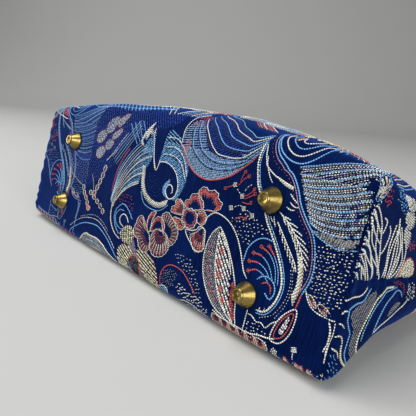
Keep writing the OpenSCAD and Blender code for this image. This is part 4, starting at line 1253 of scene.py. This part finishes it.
class BAG_OT_cloth(Piece):
    """Sagging brocade outer with its sewn ends and turned lip"""

    bl_idname = "bag.cloth"
    bl_label = "Brocade outer"

    def flat_places(self, cloth, base, rows):
        """Places on the flat cloth for the satin's lines; those of the last outer ring run on inside."""
        flat = [np.column_stack([r[:, 0], -r[:, 1]]) for r in base[:0:-1]]
        flat += [cloth.flat_of_ring(i) for i in range(len(cloth.z))]
        flat += [flat[-1]] * (rows - len(flat))
        flat = np.vstack(flat + [np.zeros((2, 2))])
        return np.column_stack([flat, np.zeros(len(flat))])

    def execute(self, context):
        loft = self.loft
        cloth = Cloth(loft)
        thick = loft.shell_thickness
        top = loft.bag_height
        shrink = np.linspace(1, 0, 47)[:-1]
        base = shrunk(loft.ring(0.0), shrink)
        down = np.zeros_like(base)
        down[..., 2] = -1
        base = base + down * loft.sculpt(base, down)[..., None]
        lip_turn = ((-0.25, 0.35), (0, 1.2), (-0.25, thick - 0.35), (-0.8, thick))
        lip = [loft.ring(top + drop, off=off) for drop, off in lip_turn]
        levels = loft.levels(thick, loft.base_fold - thick, top - 3, 5, 16)
        inner = loft.skin(levels, off=thick, floor=thick, fold=loft.base_fold - thick)[::-1]
        floor = shrunk(inner[-1], shrink[::8])
        rings = np.concatenate([base[:0:-1], cloth.points, np.array(lip), inner, floor[1:]])
        sag = loft.sculpt(np.zeros((1, 3)), np.array([[0, 0, -1.0]]))[0]
        ends = np.array([[0, 0, -sag], [0, 0, thick]])
        obj = capped("brocade_outer", loft.laid(rings), loft.laid(ends))
        store(obj, "flat", self.flat_places(cloth, base, len(rings)))
        figure = context.scene.bag_figure
        dress(obj, satin_material("brocade_ground", figure.ink, figure.royal))
        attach(obj, "bag")
        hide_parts("brocade_shell")
        return {"FINISHED"}


class BAG_OT_figure(Piece):
    """Woven figure of the brocade, one mesh for each thread colour and panel"""

    bl_idname = "bag.figure"
    bl_label = "Woven figure"
    # flat places in millimetres between which the threads of each piece have their middle
    PANELS = {"back": (-999, -45), "base": (-45, 45), "front": (45, 999)}

    def execute(self, context):
        figure = context.scene.bag_figure
        loft = self.loft
        cloth = Cloth(loft)
        runs = cut(woven(figure), cloth.inside)
        plain = ("ink", "royal", "sky", "cream", "straw", "coral", "grey")
        inks = {name: np.array(getattr(figure, name)) for name in plain}
        for name, (first, second, share) in MIXED_INKS.items():
            inks[name] = share * inks[first] + (1 - share) * inks[second]
        for ink, rgb in inks.items():
            material = thread_material("thread_" + ink, rgb)
            for panel, (low, high) in self.PANELS.items():
                mine = [r for r in runs if r[0] == ink and low <= r[1][:, 1].mean() < high]
                if not mine:
                    continue
                obj = ribbon_mesh(f"threads_{ink}_{panel}", mine, cloth.place)
                dress(obj, material)
                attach(obj, "bag")
        return {"FINISHED"}


class BAG_OT_lining(Piece):
    """Lining of the bag and facing of its mouth"""

    bl_idname = "bag.lining"
    bl_label = "Lining and facing"
    # points along the front, each corner, the end and the back of half a ring
    STEPS = (34, 6, 10, 30)

    def execute(self, context):
        self.lining()
        self.facing(context.scene.bag_figure)
        return {"FINISHED"}

    def lining(self):
        loft = self.loft
        thin = loft.lining_thickness
        outside = loft.shell_thickness + loft.lining_slack
        floor = loft.lining_floor
        fold = loft.base_fold - 3
        top = loft.bag_height - loft.facing_depth - 0.05
        sides = []
        for deep in (0, thin):
            levels = loft.levels(floor + deep, fold - deep, top, 5, 24)
            sides.append(loft.skin(levels, off=outside + deep, floor=floor + deep, fold=fold - deep,
                                   steps=self.STEPS))
        outer, inner = sides[0], sides[1][::-1]
        push = grid_normals(inner[::-1])[::-1] * (-0.35 * (1 + waves(inner, 30, 12)))[..., None]
        push[0] = 0
        push[-7:] = 0
        rings = np.concatenate([outer, inner + push])
        ends = np.array([[0, 0, floor], [0, 0, floor + thin]])
        obj = capped("lining_cloth", loft.laid(rings), loft.laid(ends))
        dress(obj, weave_material("lining_weave", (0.10, 0.14, 0.32)))
        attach(obj, "bag")
        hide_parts("lining")

    def facing(self, figure):
        loft = self.loft
        thin = loft.lining_thickness
        off = loft.inside - thin
        bottom, top = loft.bag_height - loft.facing_depth, loft.bag_height
        rise = np.linspace(bottom + 0.3, top - 0.3, 12)
        band = [loft.ring(z, off=off, steps=self.STEPS) for z in rise]
        band.append(loft.ring(top, off=off + thin * 0.5, steps=self.STEPS))
        band += [loft.ring(z, off=off + thin, steps=self.STEPS) for z in rise[::-1]]
        band.append(loft.ring(bottom, off=off + thin * 0.5, steps=self.STEPS))
        band = np.array(band)
        rows, n = band.shape[:2]
        obj = mesh_object("facing_cloth", loft.laid(band.reshape(-1, 3)) * MM, stack_faces(rows, n, True))
        flat = np.column_stack([band[..., 0].ravel(), band[..., 2].ravel(), np.zeros(rows * n)])
        store(obj, "flat", flat)
        dress(obj, satin_material("facing_satin", figure.ink, figure.royal, 0.5))
        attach(obj, "bag")
        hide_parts("mouth_facing")


class BAG_OT_stitches(Piece):
    """Topstitching round the mouth"""

    bl_idname = "bag.stitches"
    bl_label = "Stitches"

    def execute(self, context):
        loft = self.loft
        cloth = Cloth(loft)
        f = Figure()
        b = loft.flat_half + loft.fold_run + loft.bag_height - loft.base_fold - 5
        for row in (b, -b):
            f.dash("royal", [(a, row) for a in (-175, -60, 60, 175)], 0.9, 2.6, 0.9, 0.4)
        obj = ribbon_mesh("mouth_topstitch", cut(f.strokes, cloth.inside), cloth.place)
        dress(obj, thread_material("stitch_thread", context.scene.bag_figure.royal))
        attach(obj, "bag")
        return {"FINISHED"}


class BAG_OT_tabs(Piece):
    """Folded cloth tabs that hold the rings, with two rows of stitches each"""

    bl_idname = "bag.tabs"
    bl_label = "Strap tabs"

    def execute(self, context):
        loft = self.loft
        material = weave_material("tab_weave", (0.13, 0.2, 0.44))
        middle = loft.base_length / 2 + loft.side_flare - loft.ring_inset
        bar_y = loft.mouth_y + loft.tab_reach
        bar_z = loft.inside + 0.1 + loft.tab_ply
        rings, ends = self.strip(loft)
        for name, sign in (("left", -1), ("right", 1)):
            bar = np.array([sign * middle, bar_y, bar_z])
            obj = capped("tab_cloth_" + name, rings + bar, ends + bar)
            dress(obj, material)
            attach(obj, "bag")
            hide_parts("strap_tab_" + name)
            self.stitches(name, loft, bar)
        return {"FINISHED"}

    def strip(self, loft):
        """Rings along the folded strip, from its tail round the ring's bar and back, and its end points."""
        ply = loft.tab_ply
        r = loft.ring_wire / 2 + 0.08 + ply / 2
        turn = np.linspace(-math.pi * 0.86, math.pi * 0.86, 25)
        loop = np.column_stack([r * np.cos(turn), r * np.sin(turn)])
        y = np.linspace(-loft.tab_reach - loft.tab_tail, -2.6, 18)
        level = np.full(len(y), ply / 2)
        path = np.vstack([np.column_stack([y, -level]), loop, np.column_stack([y[::-1], level])])
        way = np.gradient(path, axis=0)
        way /= np.linalg.norm(way, axis=1, keepdims=True)
        side = np.column_stack([-way[:, 1], way[:, 0]])
        half, t = loft.tab_width / 2, ply * 0.47
        edge, shoulder = half - 0.15, half - 0.6
        under = [(-edge, -t * 0.8), (-shoulder, -t), (0, -t), (shoulder, -t), (edge, -t * 0.8)]
        section = [(-half, 0)] + under + [(half, 0)] + [(-x, -h) for x, h in under]
        rings = []
        for (py, pz), (sy, sz) in zip(path, side):
            rings.append([(x, py + sy * h, pz + sz * h) for x, h in section])
        return np.array(rings), np.array([(0, *path[k]) for k in (0, -1)])

    def stitches(self, name, loft, bar):
        half = loft.tab_width / 2
        runs = []
        for y in (-4.2, -loft.tab_reach + 4.0):
            for x in np.arange(-half + 1.2, half - 2.0, 2.4):
                runs.append(("royal", np.array([[x, y], [x + 1.7, y]]) + bar[:2], 0.7, 0.3))

        def on_tab(a, b):
            up = np.tile((0.0, 0.0, 1.0), (len(a), 1))
            return np.column_stack([a, b, np.full(len(a), bar[2] + loft.tab_ply)]), up

        obj = ribbon_mesh("tab_stitches_" + name, runs, on_tab)
        dress(obj, bpy.data.materials.get("stitch_thread"))
        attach(obj, "bag")


class BAG_OT_metal(Piece):
    """Finishes of the feet, snap, rings, clasps, chain, washers and board"""

    bl_idname = "bag.metal"
    bl_label = "Metal and board"

    def execute(self, context):
        foot = brass_material("antique_brass_foot", (0.62, 0.54, 0.31), (0.35, 0.29, 0.13), 0.27)
        strap = brass_material("strap_brass", (0.78, 0.66, 0.40), (0.46, 0.36, 0.19), 0.24)
        snap = brass_material("snap_brass_plate", (0.74, 0.64, 0.42), (0.5, 0.41, 0.24), 0.3)
        steel = board_material("washer_steel", (0.62, 0.61, 0.58), 1.0, 0.4)
        card = board_material("base_card", (0.34, 0.31, 0.27))
        for name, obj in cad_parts.items():
            if name.startswith("foot_") and name != "foot_washers":
                dress(obj, foot)
            elif name.startswith(("d_ring", "clasp", "gate", "chain")):
                dress(obj, strap)
            elif name.startswith("snap"):
                dress(obj, snap)
            elif name == "foot_washers":
                dress(obj, steel)
            elif name == "base_board":
                dress(obj, card)
        return {"FINISHED"}


def sweep(stage):
    """Pale floor that turns up behind the bag."""
    drop, start, radius, front, top, half = 0.0004, 1.1, 0.5, -2.5, 3.0, 3.0
    line = [(front, -drop)]
    for t in np.linspace(0, math.pi / 2, 24):
        line.append((start + radius * math.sin(t), radius * (1 - math.cos(t)) - drop))
    line.append((start + radius, top))
    heading = math.radians(stage.heading)
    away = np.array([-math.sin(heading), math.cos(heading)])
    across = np.array([math.cos(heading), math.sin(heading)])
    verts = [(*(away * d + across * side), z) for d, z in line for side in (-half, half)]
    quads = [(2 * i, 2 * i + 1, 2 * i + 3, 2 * i + 2) for i in range(len(line) - 1)]
    floor = mesh_object("floor", np.array(verts), np.array(quads))
    g = Graph("floor_pale")
    spot = g.noise(g.place(), 9.0, 4.0)
    g.set(base_color=g.mix(spot, tinted(stage.floor, 0.985), tinted(stage.floor, 1.0)), roughness=0.9)
    dress(floor, g.material)


def stood(obj, right, up, back, place):
    """Links an object that stands at a place with the given axes."""
    rows = [[right[i], up[i], back[i], place[i]] for i in range(3)]
    obj.matrix_world = Matrix(rows + [[0, 0, 0, 1]])
    bpy.context.scene.collection.objects.link(obj)


def lamp(name, place, aim, size, power):
    """A square lamp that faces its aim."""
    light = bpy.data.lights.new(name, "AREA")
    light.size = size
    light.energy = power
    way = np.array(aim) - np.array(place)
    way = way / np.linalg.norm(way)
    right = np.cross(way, (0, 0, 1))
    right /= np.linalg.norm(right)
    stood(bpy.data.objects.new(name, light), right, np.cross(right, way), -way, place)


def even_light(strength):
    """Bluish white light from all sides."""
    world = bpy.data.worlds.new("even_light")
    world.use_nodes = True
    back = next(n for n in world.node_tree.nodes if n.type == "BACKGROUND")
    back.inputs["Color"].default_value = (0.93, 0.96, 1.0, 1)
    back.inputs["Strength"].default_value = strength
    bpy.context.scene.world = world


def photo_camera(stage):
    """The camera that was fitted to the photo."""
    camera = bpy.data.cameras.new("photo_camera")
    camera.lens = stage.focal
    camera.sensor_width = 36
    camera.clip_start = 0.01
    heading, pitch, roll = (math.radians(v) for v in (stage.heading, stage.pitch, stage.roll))
    level = math.cos(pitch)
    ahead = np.array([-math.sin(heading) * level, math.cos(heading) * level, -math.sin(pitch)])
    flat = np.array([math.cos(heading), math.sin(heading), 0])
    below = np.cross(ahead, flat)
    right = math.cos(roll) * flat - math.sin(roll) * below
    down = math.sin(roll) * flat + math.cos(roll) * below
    obj = bpy.data.objects.new("photo_camera", camera)
    stood(obj, right, -down, -ahead, stage.place)
    bpy.context.scene.camera = obj


class BAG_OT_stage(bpy.types.Operator):
    """Pale floor with a soft sweep behind, three large lamps, even light and the camera"""

    bl_idname = "bag.stage"
    bl_label = "Stage"

    def execute(self, context):
        stage = context.scene.bag_stage
        sweep(stage)
        lamp("key_lamp", (-0.25, -0.3, 1.25), (0, 0, 0.03), 0.9, stage.key)
        lamp("side_lamp", (-1.1, -0.7, 0.45), (-0.05, -0.05, 0.05), 0.7, stage.side)
        lamp("fill_lamp", (1.1, -0.45, 0.5), (0, 0, 0.04), 0.8, stage.fill)
        even_light(stage.sky)
        photo_camera(stage)
        context.scene.view_settings.view_transform = "Standard"
        return {"FINISHED"}


class BAG_PT_panel(bpy.types.Panel):
    """The bag's sizes and steps"""

    bl_idname = "BAG_PT_panel"
    bl_label = "Brocade bag"
    bl_space_type = "VIEW_3D"
    bl_region_type = "UI"
    bl_category = "Bag"

    def draw(self, context):
        for group in (context.scene.bag_shape, context.scene.bag_figure, context.scene.bag_stage):
            for name in group.__annotations__:
                self.layout.prop(group, name)
        for step in STEPS:
            self.layout.operator(step.bl_idname)


STEPS = (BAG_OT_stage, BAG_OT_cloth, BAG_OT_figure, BAG_OT_lining, BAG_OT_stitches, BAG_OT_tabs, BAG_OT_metal)
GROUPS = {"bag_shape": BagShape, "bag_figure": BagFigure, "bag_stage": BagStage}


def register():
    for group in GROUPS.values():
        bpy.utils.register_class(group)
    for step in STEPS + (BAG_PT_panel,):
        bpy.utils.register_class(step)
    for name, group in GROUPS.items():
        setattr(bpy.types.Scene, name, PointerProperty(type=group))


def unregister():
    for name in GROUPS:
        delattr(bpy.types.Scene, name)
    for step in (BAG_PT_panel,) + STEPS[::-1]:
        bpy.utils.unregister_class(step)
    for group in GROUPS.values():
        bpy.utils.unregister_class(group)


def main():
    register()
    for step in STEPS:
        group, name = step.bl_idname.split(".")
        getattr(getattr(bpy.ops, group), name)()


if __name__ == "__main__":
    main()
